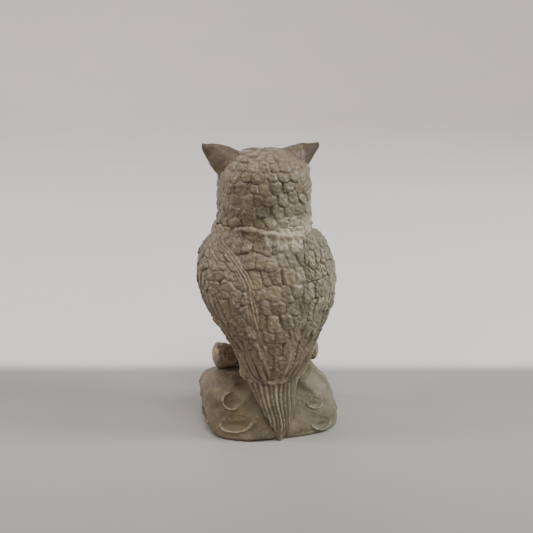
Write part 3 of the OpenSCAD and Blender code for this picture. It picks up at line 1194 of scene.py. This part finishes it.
@dataclass
class Head:
    """The head with its scaled crown, brows, tufts, facial discs, eyes and beak.

    Attributes:
        middle_x: The head's middle, across.
        middle_y: The head's middle, front to back.
        power: Power of its ovals.
        disc_lean: How far each facial disc looks aside, in degrees.
        ear_shift: How far the tufts' middle lies beside the head's.
        inset: How far its skin lies in, to leave room for the carving.
        rows: Rings up it.
        columns: Points round it.
        pitch: Length of a row of scales.
        scale_width: Width of a scale.
        tuft_pitch: Length of a row of scales on a tuft.
        coat: The crown's scales.
        disc_coat: The facial discs' feathers.
        tufts: Both tufts' shapes.
    """

    middle_x: float = 1.2
    middle_y: float = -5.0
    power: float = 2.3
    disc_lean: float = 16.0
    ear_shift: float = 0.9
    inset: float = 0.65
    rows: int = 240
    columns: int = 370
    pitch: float = 5.7
    scale_width: float = 6.2
    tuft_pitch: float = 4.6
    coat: FeatherCoat = FeatherCoat(seed=11, pillow=0.5, soft=1.8, tilt=0.42, power=2.5, bow=1.0)
    disc_coat: FeatherCoat = FeatherCoat(
        seed=17, pillow=0.25, soft=0.8, tilt=0.4, groove=0.16, shaft=0.1, stray=0.1
    )
    tufts: ClassVar[dict[Side, TuftForm]] = {
        Side.LEFT: TuftForm(10.7, 1.9, 0.9, (10, 19), 0.05),
        Side.RIGHT: TuftForm(7.4, 1.4, 0, (8.2, 8.2), 1.1),
    }

    def eye_z(self, side: Side = Side.LEFT) -> float:
        """Height of an eye's middle."""
        return centre(f"{side.word}_eye")[2]

    def table(self) -> Table:
        """Stations of the head, hung from the CAD head's crown.

        Returns:
            The station table.
        """
        half = half_size("head")[0] - 1.1
        crown, x, y = span("head")[1][2], self.middle_x, self.middle_y
        return (
            (104, x, y + 0.5, half - 2, 17, 17), (109, x, y, half - 0.8, 18.6, 18.6),
            (113.5, x, y, half + 0.4, 19.8, 20), (118, x, y, half, 20.2, 20.5),
            (127, x, y, half - 0.2, 20.4, 21), (134, x, y, half - 0.7, 20, 20.5),
            (crown - 8.6, x, y, half - 2, 18.4, 18.9), (crown - 4.2, x, y, half - 6, 14.8, 15.2),
            (crown - 1.4, x, y, half - 12.6, 9, 9.2), (crown, x, y, 4, 3.2, 3.2),
        )

    def skull(self) -> None:
        """Makes the head: scale rows run down from the crown, more of them to a row lower down.

        A brow is a bell curve about a line that rises outwards from above the beak.
        """
        sheet = lids(loft(self.table(), self.power, self.rows, self.columns), 6)
        p = sheet.points
        along = np.linalg.norm(sheet.steps()[0], axis=-1).mean(1)
        down = (along[::-1].cumsum()[::-1] - along / 2)[:, None]
        x, z = p[..., 0] - self.middle_x, p[..., 2]
        angle = np.arctan2(x, p[..., 1] - self.middle_y)
        girth = np.maximum(sheet.girth(), 3)
        tips = np.arange(1, 14) * self.pitch
        widths = np.interp(tips, down[::-1, 0], girth[::-1, 0])
        counts = np.clip(np.round(widths / self.scale_width), 6, None).astype(int)
        share = (angle / TURN + 0.12 * lumps(p, 12, 43) / np.maximum(girth / 6, 3)) % 1
        rows = down / self.pitch + 0.14 * lumps(p, 10, 44)
        height, marks, _ = self.coat.lay(share, rows, girth, self.pitch, counts)
        height += rough_cut(p, 41)
        front = ease(-(p[..., 1] - self.middle_y), 5, 12)
        rise = z - (self.eye_z() + 3 + 0.62 * np.abs(x))
        brow = bell(rise, 2.3) * ease(np.abs(x), 21, 16) * front
        height = height * (1 - 0.6 * brow) + 2.9 * brow + 0.22 * brow * np.sin(np.abs(x) * TURN / 1.6 + z)
        # Polish and painted highlight along the brows.
        marks.add_polish_and_highlight(0.7 * bell(rise, 1.0) * brow)
        # The nape under the crown gets the polish-and-highlight mark, more on the owl's right, and less
        # painted shade.
        nape = ease(z - 4 * np.sin(angle), 122.5, 115.5)
        nape = nape * ease(np.cos(angle), 0, 0.5) * ease(np.sin(angle), 0.35, -0.15)
        marks.add_polish_and_highlight(1.5 * nape)
        marks.crevice = marks.crevice * (1 - 0.5 * nape)
        piece = Casting("crown_and_cheeks").add(sheet.raised(height - self.inset), marks)
        piece.finish(Palette.FEATHERS, "head")

    def tuft(self, side: Side) -> None:
        """Makes an ear tuft: ovals whose top and bottom points run along two curves to a blunt tip.

        Args:
            side: The side that it is on.
        """
        form = self.tufts[side]
        low, high = span(f"{side.word}_ear")
        shift = self.middle_x + self.ear_shift
        tip_x = abs((high[0] if side is Side.LEFT else low[0]) - shift)
        tip = np.array([tip_x + 0.1, -8.5, high[2] + 0.1])
        t = np.linspace(0, 0.985, 130)[:, None]
        arch = np.sin(math.pi * t)
        root_top = np.array([form.root, -6, span("head")[1][2] - 1.2])
        root_low = np.array([20.8, -5, 133])
        top = root_top + (tip - root_top) * t + arch * [0, 0, form.rise]
        bottom = root_low + (tip - [0, 0, 2.4] - root_low) * t + arch * [form.bulge, 0, -0.8 * form.bulge]
        half, middle = (top - bottom) / 2, (top + bottom) / 2
        thick = 9.4 + (0.9 - 9.4) * t**0.8
        angle = around(140)
        points = middle[:, None] + half[:, None] * np.cos(angle)[None, :, None]
        points[..., 1] += thick * np.sin(angle)
        points[..., 0] = shift + side.value * points[..., 0]
        sheet = lids(Sheet(points[:, :: side.value]), 5)
        p = sheet.points
        away = np.abs(p[..., 0] - shift)
        bare = form.bare[0] + (form.bare[1] - form.bare[0]) * ease(p[..., 2], 142.5, 146.5)
        rows = (tip_x - bare - away) / self.tuft_pitch + 0.12 * lumps(p, 9, 55)
        share, girth = np.arange(140) / 140, np.maximum(sheet.girth(), 4)
        coated, marks, laid = self.coat.lay(share, rows, girth, self.tuft_pitch, np.full(4, 9))
        laid = laid * ease(rows, -0.15, 0.25)
        marks.add_polish_and_highlight(0.5)
        near_root = ease(away, tip_x, tip_x - 3)
        height = 0.6 * coated * laid + (0.16 * lumps(p, 9, 52) + 0.07 * lumps(p, 3, 53)) * near_root
        polish_and_highlight = 0.2 * ease(lumps(p, 6, 56), 0.4, 1.2)
        # The bare tip is darkened by painted shade, strongest on the right tuft.
        smooth = Marks(np.full(rows.shape, form.bare_shade), 0.5 + 0.45 * lumps(p, 7, 54), polish_and_highlight)
        carved = sheet.raised(height - 0.5 * near_root)
        piece = Casting(f"{side.word}_tuft").add(carved, smooth.mixed(marks, laid))
        piece.finish(Palette.HORN, f"{side.word}_ear")

    def facing(self, side: Side, flat: np.ndarray, proud: np.ndarray, angle: np.ndarray) -> Sheet:
        """Places a round relief on the face, about the eye's axis.

        Args:
            side: The side that it is on.
            flat: Distances from the axis, one for each row.
            proud: Heights along the axis, by row and column.
            angle: Angles round the axis, one for each column.

        Returns:
            The sheet.
        """
        lean = math.radians(self.disc_lean) * side.value
        out = np.array([math.sin(lean), -math.cos(lean), 0])
        across = np.array([math.cos(lean), math.sin(lean), 0])
        seat = centre(f"{side.word}_face_disc") - out * 2.45
        seat[2] = self.eye_z(side)
        x = flat[:, None] * np.cos(angle)
        z = flat[:, None] * np.sin(angle)
        return Sheet(seat + x[..., None] * across + z[..., None] * [0, 0, 1] + proud[..., None] * out)

    def disc(self, side: Side) -> None:
        """Makes a facial disc: a shallow bowl of radiating feathers, whose ruff bends back into the head.

        Args:
            side: The side that it is on.
        """
        radius = half_size(f"{side.word}_face_disc")[2]
        flat = np.concatenate([np.linspace(radius + 2.2, radius, 16), np.linspace(radius - 0.1, 3.2, 90)])
        angle = around(240)
        share = flat / radius
        profile = 3.0 + 1.75 * ease(share, 0.45, 0.82) - 1.6 * ease(share, 0.86, 1.02) ** 2
        profile -= 6.5 * np.clip((share - 1) / 0.21, 0, 1) ** 1.2
        pitch = 3.0
        girth = TURN * np.maximum(flat, 3)[:, None]
        counts = np.array([10, 18, 26, 30])
        height, marks, _ = self.disc_coat.lay(angle / TURN, (flat / pitch)[:, None], girth, pitch, counts)
        fade = ease(share, 1.22, 1.05)[:, None]
        ruff = np.maximum(bell(share - 0.88, 0.08), ease(share, 0.88, 1))[:, None]
        fringe = 0.3 * np.sin(angle * 34)[None, :] * ruff
        sheet = self.facing(side, flat, profile[:, None] + (height - 0.25 + fringe) * fade, angle)
        piece = Casting(f"{side.word}_facial_disc").add(sheet, marks)
        piece.finish(Palette.FEATHERS, f"{side.word}_face_disc")

    def eye(self, side: Side) -> None:
        """Makes an eye: a dome with a lid ring round it, an iris step and a drilled pupil.

        Args:
            side: The side that it is on.
        """
        radius = half_size(f"{side.word}_eye")[2]
        flat = np.linspace(radius + 0.9, 0.05, 90)
        share = flat / radius
        ball = 3.0 + 3.2 * np.sqrt(np.clip(1.15 - share**2, 0, 1)) - 0.35
        lid = 3.0 + 1.5 * bell(share - 1.05, 0.16)
        profile = np.maximum(np.minimum(ball, 6.0), np.where(share > 0.8, lid, 0))
        profile -= 0.22 * bell(share - 0.68, 0.05) + 0.6 * ease(share, 0.44, 0.34)
        profile[0] = 1.5
        angle = around(120)
        rays = 0.05 * np.sin(angle * 36) * (bell(share - 0.56, 0.09))[:, None]
        sheet = self.facing(side, flat, profile[:, None] + rays, angle)
        # Painted shade in the drilled pupil, in the iris step and in the groove inside the lid; polish and
        # painted highlight on the lid.
        crevice = np.maximum(bell(share - 0.68, 0.05), 3.0 * ease(share, 0.46, 0.4))
        crevice = crevice + 0.8 * bell(share - 0.86, 0.05)
        marks = Marks(crevice[:, None], np.full(rays.shape, 0.5), bell(share - 1.05, 0.1)[:, None])
        piece = Casting(f"{side.word}_eyeball_and_lid").add(sheet, marks)
        piece.finish(Palette.EYE, f"{side.word}_eye")

    def beak(self) -> None:
        """Makes the hooked beak: rings that narrow along a quarter turn, with a keel and nostrils."""
        t = np.linspace(1, 0, 90)[:, None]
        bend = np.radians(10 + 80 * t)
        wide = 3.0 + (0.4 - 3.0) * t**1.6
        angle = around(80)
        keel = 1 + 0.14 * np.maximum(np.sin(angle), 0) ** 6
        thick = wide * 1.15 * np.sin(angle)
        x = self.middle_x + wide * np.cos(angle)
        y = self.middle_y - 18 - 4.2 * np.sin(bend) - thick * np.sin(bend) * keel
        z = self.eye_z() - 1.5 - 9 * (1 - np.cos(bend)) - 3 * t + thick * np.cos(bend) * keel
        points = np.stack([x, np.maximum(y, span("beak")[0][1] + 0.05), z], -1)
        nostril = np.maximum(
            bell(np.hypot((angle - 0.9) * 2.4, (t - 0.3) * 11), 0.9),
            bell(np.hypot((angle - 2.24) * 2.4, (t - 0.3) * 11), 0.9),
        )
        # Painted shade in the nostrils; polish and painted highlight growing towards the hooked tip.
        marks = Marks(nostril, np.full(nostril.shape, 0.5), 0.6 * t)
        piece = Casting("hooked_beak").add(Sheet(points).raised(-0.4 * nostril), marks)
        piece.finish(Palette.HORN, "beak")

    def build(self) -> None:
        """Makes every piece of the head."""
        self.skull()
        self.beak()
        for side in Side:
            self.tuft(side)
            self.disc(side)
            self.eye(side)


@dataclass(frozen=True)
class WingForm:
    """How one wing's carving differs from the other's.

    Attributes:
        edge: Column of the wing's table that holds its inner edge.
        slim: How much thinner it is low down.
        seed: Added to the seeds of its carving.
        scale: Length of a row of scales by its inner edge.
        rows: Number of rows of scales.
        columns: Scales in a row.
        rib: How clear the rib along its inner edge is, 0 to 1.
    """

    edge: int
    slim: float
    seed: int
    scale: float
    rows: int
    columns: int
    rib: float


@dataclass
class Wing:
    """A folded wing with its rib, coverts and long quills, and the flight-feather tips below it.

    Attributes:
        body: The torso that it lies on.
        side: The side that it is on.
        thick: Its thickness at the shoulder.
        across: Points across its outer face.
        inner: Points across the face inside the torso.
        rows: Rows down the wing.
        tip_rows: Rows down the flight-feather tips.
        inset: How far the wing's skin lies in, to leave room for the carving.
        coat: Its scales.
        quills: Its long quills.
        forms: How both wings differ.
    """

    body: Body
    side: Side
    thick: float = 6.2
    across: int = 250
    inner: int = 18
    rows: int = 330
    tip_rows: int = 150
    inset: float = 0.7
    coat: FeatherCoat = FeatherCoat(seed=23, pillow=0.5, soft=1.5, tilt=0.45, power=2.9, bow=0.85)
    quills: Quills = Quills(seed=7, count=10)
    forms: ClassVar[dict[Side, WingForm]] = {
        Side.LEFT: WingForm(2, 0, 0, 4.9, 12, 9, 1),
        Side.RIGHT: WingForm(3, 1.1, 40, 7.6, 9, 11, 0.35),
    }

    def table(self) -> Table:
        """Share down, height, inner-edge angle of the left and right wing, outer-edge angle, thickness."""
        k = self.thick
        return (
            (0, 110, 60, 42, 68, 0.8), (0.06, 106.5, 54, 40, 96, 4.4), (0.16, 100, 33, 36, 110, 6.2),
            (0.3, 89, 17.5, 31, 112, k + 0.2), (0.45, 78, 16, 25, 104, k - 0.2),
            (0.6, 67, 15, 17, 96, k - 1.9), (0.75, 56, 11, 9, 88, 2.5), (0.88, 46, 9, 5, 76, 1.9),
            (1, 38.5, 11, 6, 60, 1.2),
        )

    def tips_table(self) -> Table:
        """The same for the flight-feather tips."""
        return (
            (0, 53, 18, 10, 84, 1.6), (0.4, 45, 13, 4, 78, 1.8), (0.75, 38.5, 9, 1, 62, 1.8),
            (1, 34.5, 10, 2, 36, 0.8),
        )

    def sweep(self, table: Table, rows: int) -> tuple[Sheet, np.ndarray, np.ndarray]:
        """The closed sheet of a wing: an outer face that stands off the torso and an inner one in it.

        Args:
            table: The wing's table.
            rows: Rows down it.

        Returns:
            The sheet, lowest row first, the share across of each column, and 1 on the outer face.
        """
        form = self.forms[self.side]
        stations = rows_at(table, np.linspace(1, 0, rows))
        torso = rows_at(self.body.table(), stations[:, 1])
        u = np.concatenate([np.linspace(0, 1, self.across), np.linspace(1, 0, self.inner)])
        outer = np.arange(len(u)) < self.across
        start = np.radians(stations[:, form.edge, None] + np.where(outer, 0, 1))
        end = np.radians(stations[:, 4:5] - np.where(outer, 0, 1))
        angle = (start + (end - start) * u) * self.side.value
        slim = form.slim * bell(stations[:, 1:2] - 50, 13)
        rise = (stations[:, 5:6] - slim) * np.maximum(np.sin(math.pi * u), 0) ** 0.55 - 0.4
        points = oval(torso[:, None, :], angle, self.body.power, np.where(outer, rise, -3.0))
        return Sheet(points), u, outer.astype(float)

    def girth(self, sheet: Sheet) -> np.ndarray:
        """Length of each row of the outer face."""
        return np.linalg.norm(sheet.steps()[1], axis=-1)[:, : self.across].sum(1, keepdims=True)

    def put(self, name: str, sheet: Sheet, height: np.ndarray, marks: Marks, node: str) -> None:
        """Raises the carving and finishes the piece, the right way out on either side.

        Args:
            name: The end of the piece's name.
            sheet: Its smooth sheet.
            height: The carving's height.
            marks: Its marks.
            node: The end of the name of the CAD node that it stands for.
        """
        way, word = self.side.value, self.side.word
        points = sheet.raised(height * way).points[:, ::way]
        layers = (np.broadcast_to(layer, height.shape)[:, ::way] for layer in marks.layers())
        piece = Casting(f"{word}_{name}").add(Sheet(points), Marks(*layers))
        piece.finish(Palette.FEATHERS, f"{word}_{node}")

    def coverts(self) -> None:
        """Makes the wing: scales on the shoulder, longer ones outside and low, quills below, a rib inside."""
        form = self.forms[self.side]
        sheet, u, outer = self.sweep(self.table(), self.rows)
        p = sheet.points
        width = self.girth(sheet)
        step = np.linalg.norm(sheet.steps()[0], axis=-1)
        down = (step[::-1].cumsum(0)[::-1]).mean(1, keepdims=True)
        outward = ease(u, 0.4, 0.8)
        long = form.scale + 4.4 * outward + 1.4 * ease(down, 34, 62)
        rows = down / long + (0.5 + 0.5 * outward) * u + 0.12 * lumps(p, 9, 63 + form.seed)
        share = np.clip(u + 0.14 / 8 * lumps(p, 11, 64 + form.seed), 0, 1)
        coat = replace(self.coat, seed=self.coat.seed + form.seed)
        height, marks, laid = coat.lay(share, rows, width, long, np.full(form.rows, form.columns))
        quills = replace(self.quills, seed=self.quills.seed + form.seed)
        low_height, low_marks = quills.lay(share, down, width)
        marks = low_marks.mixed(marks, laid)
        grown = ease(down, 2, 15)
        height = np.where(laid > 0, height, low_height) * grown
        marks.crevice = marks.crevice * (0.2 + 0.8 * grown)
        marks.polish_and_highlight = marks.polish_and_highlight * grown
        inset = u * width
        band = 3.4 + 1.6 * ease(down, 25, 55)
        rib = ease(inset, band + 0.9, band - 0.1) * ease(down, 1, 8) * form.rib
        fade = ease(down, 80, 45)
        bands = 0.55 * fade * (bell(inset - 0.9, 0.55) + bell(inset - 2.6, 0.5)) + 0.15 * lumps(p, 7, 65)
        height = height * (1 - rib) + (0.35 + bands) * rib
        # Painted shade along the rib's cuts, and polish with painted highlight along its first ridge.
        line = np.maximum(bell(inset - 1.75, 0.26), bell(inset - band, 0.3))
        marks = marks.mixed(Marks(0.8 * line * fade, 0.6, 0.5 * bell(inset - 0.9, 0.3) * fade), rib)
        height += rough_cut(p, 61 + form.seed) * outer
        edge = ease(np.minimum(u, 1 - u), 0, 0.02)
        self.put("folded_wing", sheet, (height - self.inset) * outer * edge, marks, "wing")

    def tips(self) -> None:
        """Makes the flight-feather tips: quills whose lower ends are rounded one by one."""
        sheet, u, outer = self.sweep(self.tips_table(), self.tip_rows)
        down = np.linspace(20, 0, self.tip_rows)[:, None]
        quills = Quills(seed=9 + self.side.value, count=6, ridge=0.8, cut=0.45)
        height, marks = quills.lay(u, down, self.girth(sheet))
        inner = (u * quills.count) % 1
        lift = (2.4 * np.abs(inner - 0.5) ** 2 * 4 + 1.2 * np.sin(u * 17)) * ease(down, 12, 20)
        sheet.points[..., 2] += lift * outer
        edge = ease(np.minimum(u, 1 - u), 0, 0.03)
        self.put("quill_tips", sheet, (height - 0.2) * outer * edge, marks, "flight_feathers")

    def build(self) -> None:
        """Makes both pieces."""
        self.coverts()
        self.tips()


@dataclass
class Tail:
    """The tail: long quills that run together to a point at the plinth's back edge.

    Attributes:
        power: Power of its ovals.
        rows: Rings up it.
        columns: Points round it.
        inset: How far its skin lies in, to leave room for the carving.
        quills: Its quills.
    """

    power: float = 2.2
    rows: int = 240
    columns: int = 270
    inset: float = 0.4
    quills: Quills = Quills(seed=2, count=11, ridge=0.52, cut=0.26, barb=0.03)

    def table(self) -> Table:
        """Stations of the tail."""
        return (
            (0, -2.5, 18, 1.9, 6, 5.4), (4, -2.6, 18.4, 3.5, 7, 5.4), (13, -2.2, 19, 7.2, 8, 5.6),
            (26, 0.1, 18.4, 11, 8, 6.4), (34, 0.4, 17, 13.6, 7, 6.4), (42, 0.2, 15.5, 13.4, 5, 6),
        )

    def build(self) -> None:
        """Makes the tail; its cuts draw together only half as fast as its sides, and fade at the tip."""
        table = self.table()
        sheet = loft(table, self.power, self.rows, self.columns)
        p = sheet.points
        stations = rows_at(table, p[:, 0, 2])
        fan = 5.8 + 0.56 * stations[:, 3:4]
        share = 0.5 + 0.5 * (p[..., 0] - stations[:, 1:2]) / fan + 0.006 * lumps(p, 9, 72)
        height, marks = self.quills.lay(share, table[-1][0] - p[..., 2], 2 * fan)
        behind = ease(p[..., 1] - stations[:, 2:3], -1, 2)
        fade = ease(p[..., 2] + 1.5 * lumps(p, 6, 73), 1, 9) * behind
        height = height * fade + 0.3 * lumps(p, 10, 71) * behind
        # Painted shade in the cuts, fading towards the tip; the whole tail is a little paler, with more
        # polish and painted highlight on the quills.
        marks = Marks(0.55 * marks.crevice * fade, marks.tone, 0.15 + marks.polish_and_highlight * (0.5 + 0.7 * fade))
        carved = sheet.raised(height - self.inset)
        carved.points[..., 2] = np.maximum(carved.points[..., 2], 0)
        Casting("tail_quills").add(carved, marks).finish(Palette.FEATHERS, "tail")


@dataclass
class Foot:
    """A feathered thigh, a foot with three scaled toes round the log, and its claws.

    Attributes:
        side: The side that it is on.
        toe_radius: Radius of a toe.
        toe_gap: Distance between two toes.
        foot_x: Distance of the foot from the owl's middle.
        toe_turn: How far a toe reaches round the log, in degrees.
        claw_turn: How much farther its claw reaches.
        knuckle: Radius of the knuckle.
        scutes: Number of scutes on a toe.
        coat: The thigh's feathers.
    """

    side: Side
    toe_radius: float = 2.1
    toe_gap: float = 4.6
    foot_x: float = 10.5
    toe_turn: float = 118.0
    claw_turn: float = 38.0
    knuckle: float = 4.4
    scutes: int = 7
    coat: FeatherCoat = FeatherCoat(
        seed=31, pillow=0.35, soft=1.0, tilt=0.6, groove=0.2, power=2.4, shaft=0.08
    )

    def axis(self) -> tuple[float, float, float]:
        """The log's middle y and z, and its radius."""
        return *centre("perch_log")[1:], half_size("perch_log")[2]

    def thigh(self) -> None:
        """Makes the thigh: a leaning oval loft under a coat of small feathers."""
        _, log_z, log_r = self.axis()
        top = log_z + log_r
        table = (
            (top + 1.2, 0, -5.6, 5, 4.8, 5.2), (top + 3, 0, -6.4, 6.2, 6.6, 6), (top + 7, 0, -8.5, 8, 10, 7),
            (top + 14, 0, -11.5, 8, 10.6, 6), (top + 21, 0, -14, 6, 8.4, 4), (top + 26, 0, -14, 2, 4, 2),
        )
        sheet = lids(loft(table, 2.1, 130, 150), 4)
        middle_x = self.foot_x * self.side.value
        sheet.points[..., 0] += middle_x
        p = sheet.points
        angle = np.arctan2(p[..., 0] - middle_x, p[..., 1] + 10)
        pitch, girth = 4.2, np.maximum(sheet.girth(), 12)
        rows = (table[-1][0] - p[..., 2]) / pitch
        height, marks, _ = self.coat.lay((angle / TURN) % 1, rows, girth, pitch, np.full(9, 10))
        piece = Casting(f"{self.side.word}_thigh").add(sheet.raised(height - 0.3), marks)
        piece.finish(Palette.FEATHERS, f"{self.side.word}_leg")

    def wrap(
        self,
        column: int,
        turns: tuple[float, float],
        taper: tuple[float, float],
        rings: int,
        swell: float = 0.0,
    ) -> Sheet:
        """A toe or claw: a tube round the log's own axis.

        Args:
            column: -1, 0 or 1, the toe's place.
            turns: First and last angle from the top of the log, in degrees.
            taper: Radius at the start and at the end.
            rings: Number of rings.
            swell: Height of its scutes.

        Returns:
            The sheet.
        """
        log_y, log_z, log_r = self.axis()
        turn = np.radians(np.linspace(*turns, rings))
        share = np.linspace(0, 1, rings)
        thick = taper[0] + (taper[1] - taper[0]) * share
        arm = log_r + self.toe_radius - (self.toe_radius - thick) * 0.6 - 0.15
        x = (self.foot_x + column * self.toe_gap) * self.side.value
        path = np.stack([np.full(rings, x), log_y - arm * np.sin(turn), log_z + arm * np.cos(turn)], -1)
        radius = thick * dome((1 - share) * 9 + 0.2) + swell * np.abs(np.sin(share * math.pi * self.scutes))
        return tube(path, radius, np.array([1.0, 0.0, 0.0]), 40)

    def toes(self) -> None:
        """Makes the foot: three toes with scutes, and the knuckle that they spring from."""
        log_y, log_z, log_r = self.axis()
        piece = Casting(f"{self.side.word}_toes")
        # Painted shade between the scutes, and polish with painted highlight on their tops.
        bands = np.abs(np.sin(np.linspace(0, 1, 90) * math.pi * self.scutes))[:, None]
        for column in (-1, 0, 1):
            sheet = self.wrap(column, (-8, self.toe_turn), (self.toe_radius, self.toe_radius * 0.8), 90, 0.22)
            piece.add(sheet, Marks(bell(bands, 0.2), np.full(bands.shape, 0.5), 0.5 * ease(bands, 0.7, 1)))
        polar = np.linspace(0.04, math.pi - 0.04, 50)
        middle = [self.foot_x * self.side.value, log_y - 2, log_z + log_r + 1]
        path = middle + np.cos(polar)[:, None] * [0, 0, -self.knuckle]
        piece.add(tube(path, self.knuckle * np.sin(polar), np.array([1.0, 0.0, 0.0]), 60))
        piece.finish(Palette.HORN, f"{self.side.word}_foot")

    def claws(self) -> None:
        """Makes the three claws, each going on from its toe to a point."""
        piece = Casting(f"{self.side.word}_talons")
        turns = (self.toe_turn - 4, self.toe_turn + self.claw_turn)
        for column in (-1, 0, 1):
            piece.add(self.wrap(column, turns, (self.toe_radius * 0.8, 0.25), 50))
        piece.finish(Palette.HORN, f"{self.side.word}_claws")

    def build(self) -> None:
        """Makes all three pieces."""
        self.thigh()
        self.toes()
        self.claws()


# ---------------------------------------------------------------- studio


@dataclass(frozen=True)
class Lamp:
    """A square soft light that looks at the figurine.

    Attributes:
        name: Its name.
        azimuth: Its azimuth in degrees.
        elevation: Its elevation in degrees.
        away: Its distance in metres.
        size: Its width in metres.
        watts: Its power.
        tint: Its colour.
    """

    name: str
    azimuth: float
    elevation: float
    away: float
    size: float
    watts: float
    tint: Colour


@dataclass
class Studio:
    """Camera, soft lights and a wide, round bowl of pale paper. Its sizes are in metres.

    Attributes:
        azimuth: The camera's azimuth in degrees.
        elevation: The camera's elevation in degrees.
        distance: The camera's distance.
        lens: Its focal length in millimetres.
        wall: Radius of the bowl.
        bend: Radius of the bend between its floor and its wall.
        aim: The place that the camera and the lights look at.
        lamps: The lights.
    """

    azimuth: float = 170.0
    elevation: float = 18.0
    distance: float = 0.37
    lens: float = 48.7
    wall: float = 2.1
    bend: float = 0.7
    aim: tuple[float, float, float] = (0.0009, 0.0, 0.0886)
    lamps: tuple[Lamp, ...] = (
        Lamp("overhead", 190, 66, 1.5, 0.7, 11.4, (1.0, 0.98, 0.95)),
        Lamp("right window", 252, 30, 1.5, 0.34, 17, (0.98, 1.0, 0.98)),
        Lamp("left window", 86, 31, 1.5, 0.34, 10, (1.0, 0.97, 0.97)),
        Lamp("room", 10, 40, 2.0, 1.4, 9, (1.0, 0.99, 0.98)),
    )

    def toward(self, azimuth: float, elevation: float) -> Vector:
        """Direction from the figurine to a place, from its azimuth and elevation in degrees."""
        a, e = math.radians(azimuth), math.radians(elevation)
        return Vector((math.sin(a) * math.cos(e), -math.cos(a) * math.cos(e), math.sin(e)))

    def place(
        self, name: str, data: bpy.types.ID, azimuth: float, elevation: float, away: float
    ) -> bpy.types.Object:
        """Places a camera or a light so that it looks at the figurine.

        Args:
            name: The object's name.
            data: Its camera or light.
            azimuth: Its azimuth in degrees.
            elevation: Its elevation in degrees.
            away: Its distance in metres.

        Returns:
            The object.
        """
        thing = bpy.data.objects.new(name, data)
        back = self.toward(azimuth, elevation)
        thing.location = Vector(self.aim) + back * away
        thing.rotation_mode = "QUATERNION"
        thing.rotation_quaternion = (-back).to_track_quat("-Z", "Y")
        bpy.context.scene.collection.objects.link(thing)
        return thing

    def camera(self) -> None:
        """Makes the camera."""
        data = bpy.data.cameras.new("camera")
        data.lens, data.clip_start, data.clip_end = self.lens, 0.01, 20
        bpy.context.scene.camera = self.place("camera", data, self.azimuth, self.elevation, self.distance)

    def light(self, lamp: Lamp) -> None:
        """Makes one light.

        Args:
            lamp: Its place and strength.
        """
        data = bpy.data.lights.new(lamp.name, "AREA")
        data.size, data.energy, data.color = lamp.size, lamp.watts, lamp.tint
        self.place(lamp.name, data, lamp.azimuth, lamp.elevation, lamp.away)

    def paper(self) -> bpy.types.Material:
        """The backdrop's paper: painted paler beyond a line behind the figurine, as a lit wall, with a
        painted shadow band just behind the figurine and painted shade towards the camera.

        Returns:
            The material.
        """
        w = Wiring("pale paper")
        away = -self.toward(self.azimuth, 0)
        x, y = (w.node("ShaderNodeSeparateXYZ", {}, {0: w.place}, k) for k in (0, 1))
        behind = x * away.x + y * away.y
        # Painted shadow band behind the figurine, and painted shade that grows towards the camera.
        painted_floor_shade = behind.between(0.005, 0.05) * 0.6 + (behind * -1.0).between(0.02, 0.12) * 0.75
        cloud = w.noise(150, 2).between(0.3, 0.7)
        near_paper = w.blend(cloud, linear(168, 166, 161), linear(163, 161, 155))
        near_paper = w.blend(painted_floor_shade, near_paper, linear(150, 147, 143))
        # Beyond the line the paper is painted paler, as a lit wall.
        painted_lit_wall = w.blend(cloud, linear(232, 225, 222), linear(229, 226, 220))
        colour = w.blend(behind.between(0.056, 0.076), near_paper, painted_lit_wall)
        return w.close({"Base Color": colour, "Roughness": 0.95})

    def backdrop(self) -> None:
        """Makes the bowl: a floor, a quarter-circle bend and a low wall, turned once round."""
        turn = np.linspace(0, math.pi / 2, 24)
        run = np.concatenate([[0.001, 0.3], self.wall - self.bend + self.bend * np.sin(turn), [self.wall]])
        rise = np.concatenate([[0, 0], self.bend - self.bend * np.cos(turn), [self.bend + 0.2]])
        round_by = np.linspace(0, TURN, 97)
        ring = np.stack([np.cos(round_by), np.sin(round_by), 0 * round_by], -1)
        points = run[:, None, None] * ring + rise[:, None, None] * [0, 0, 1]
        rows, columns = points.shape[:2]
        grid = np.arange(rows * columns).reshape(rows, columns)
        quads = np.stack([grid[:-1, :-1], grid[1:, :-1], grid[1:, 1:], grid[:-1, 1:]], -1).reshape(-1, 4)
        mesh = bpy.data.meshes.new("backdrop")
        mesh.from_pydata(points.reshape(-1, 3).tolist(), [], quads.tolist())
        mesh.shade_smooth()
        mesh.materials.append(self.paper())
        sheet = bpy.data.objects.new("backdrop", mesh)
        bpy.context.scene.collection.objects.link(sheet)

    def build(self) -> None:
        """Makes the whole studio."""
        self.camera()
        self.backdrop()
        world = bpy.data.worlds.new("room")
        world.use_nodes = True
        room = world.node_tree.nodes["Background"].inputs
        room["Color"].default_value = (*linear(236, 234, 238), 1)
        room["Strength"].default_value = 0.42
        bpy.context.scene.world = world
        for lamp in self.lamps:
            self.light(lamp)


def main() -> None:
    logging.basicConfig(level=logging.INFO, format="%(name)s: %(message)s")
    Studio().build()
    body = Body()
    Plinth().build()
    PerchLog().build()
    body.build()
    Head().build()
    for side in Side:
        Wing(body, side).build()
        Foot(side).build()
    Tail().build()
    bpy.context.view_layer.update()


if __name__ == "__main__":
    main()
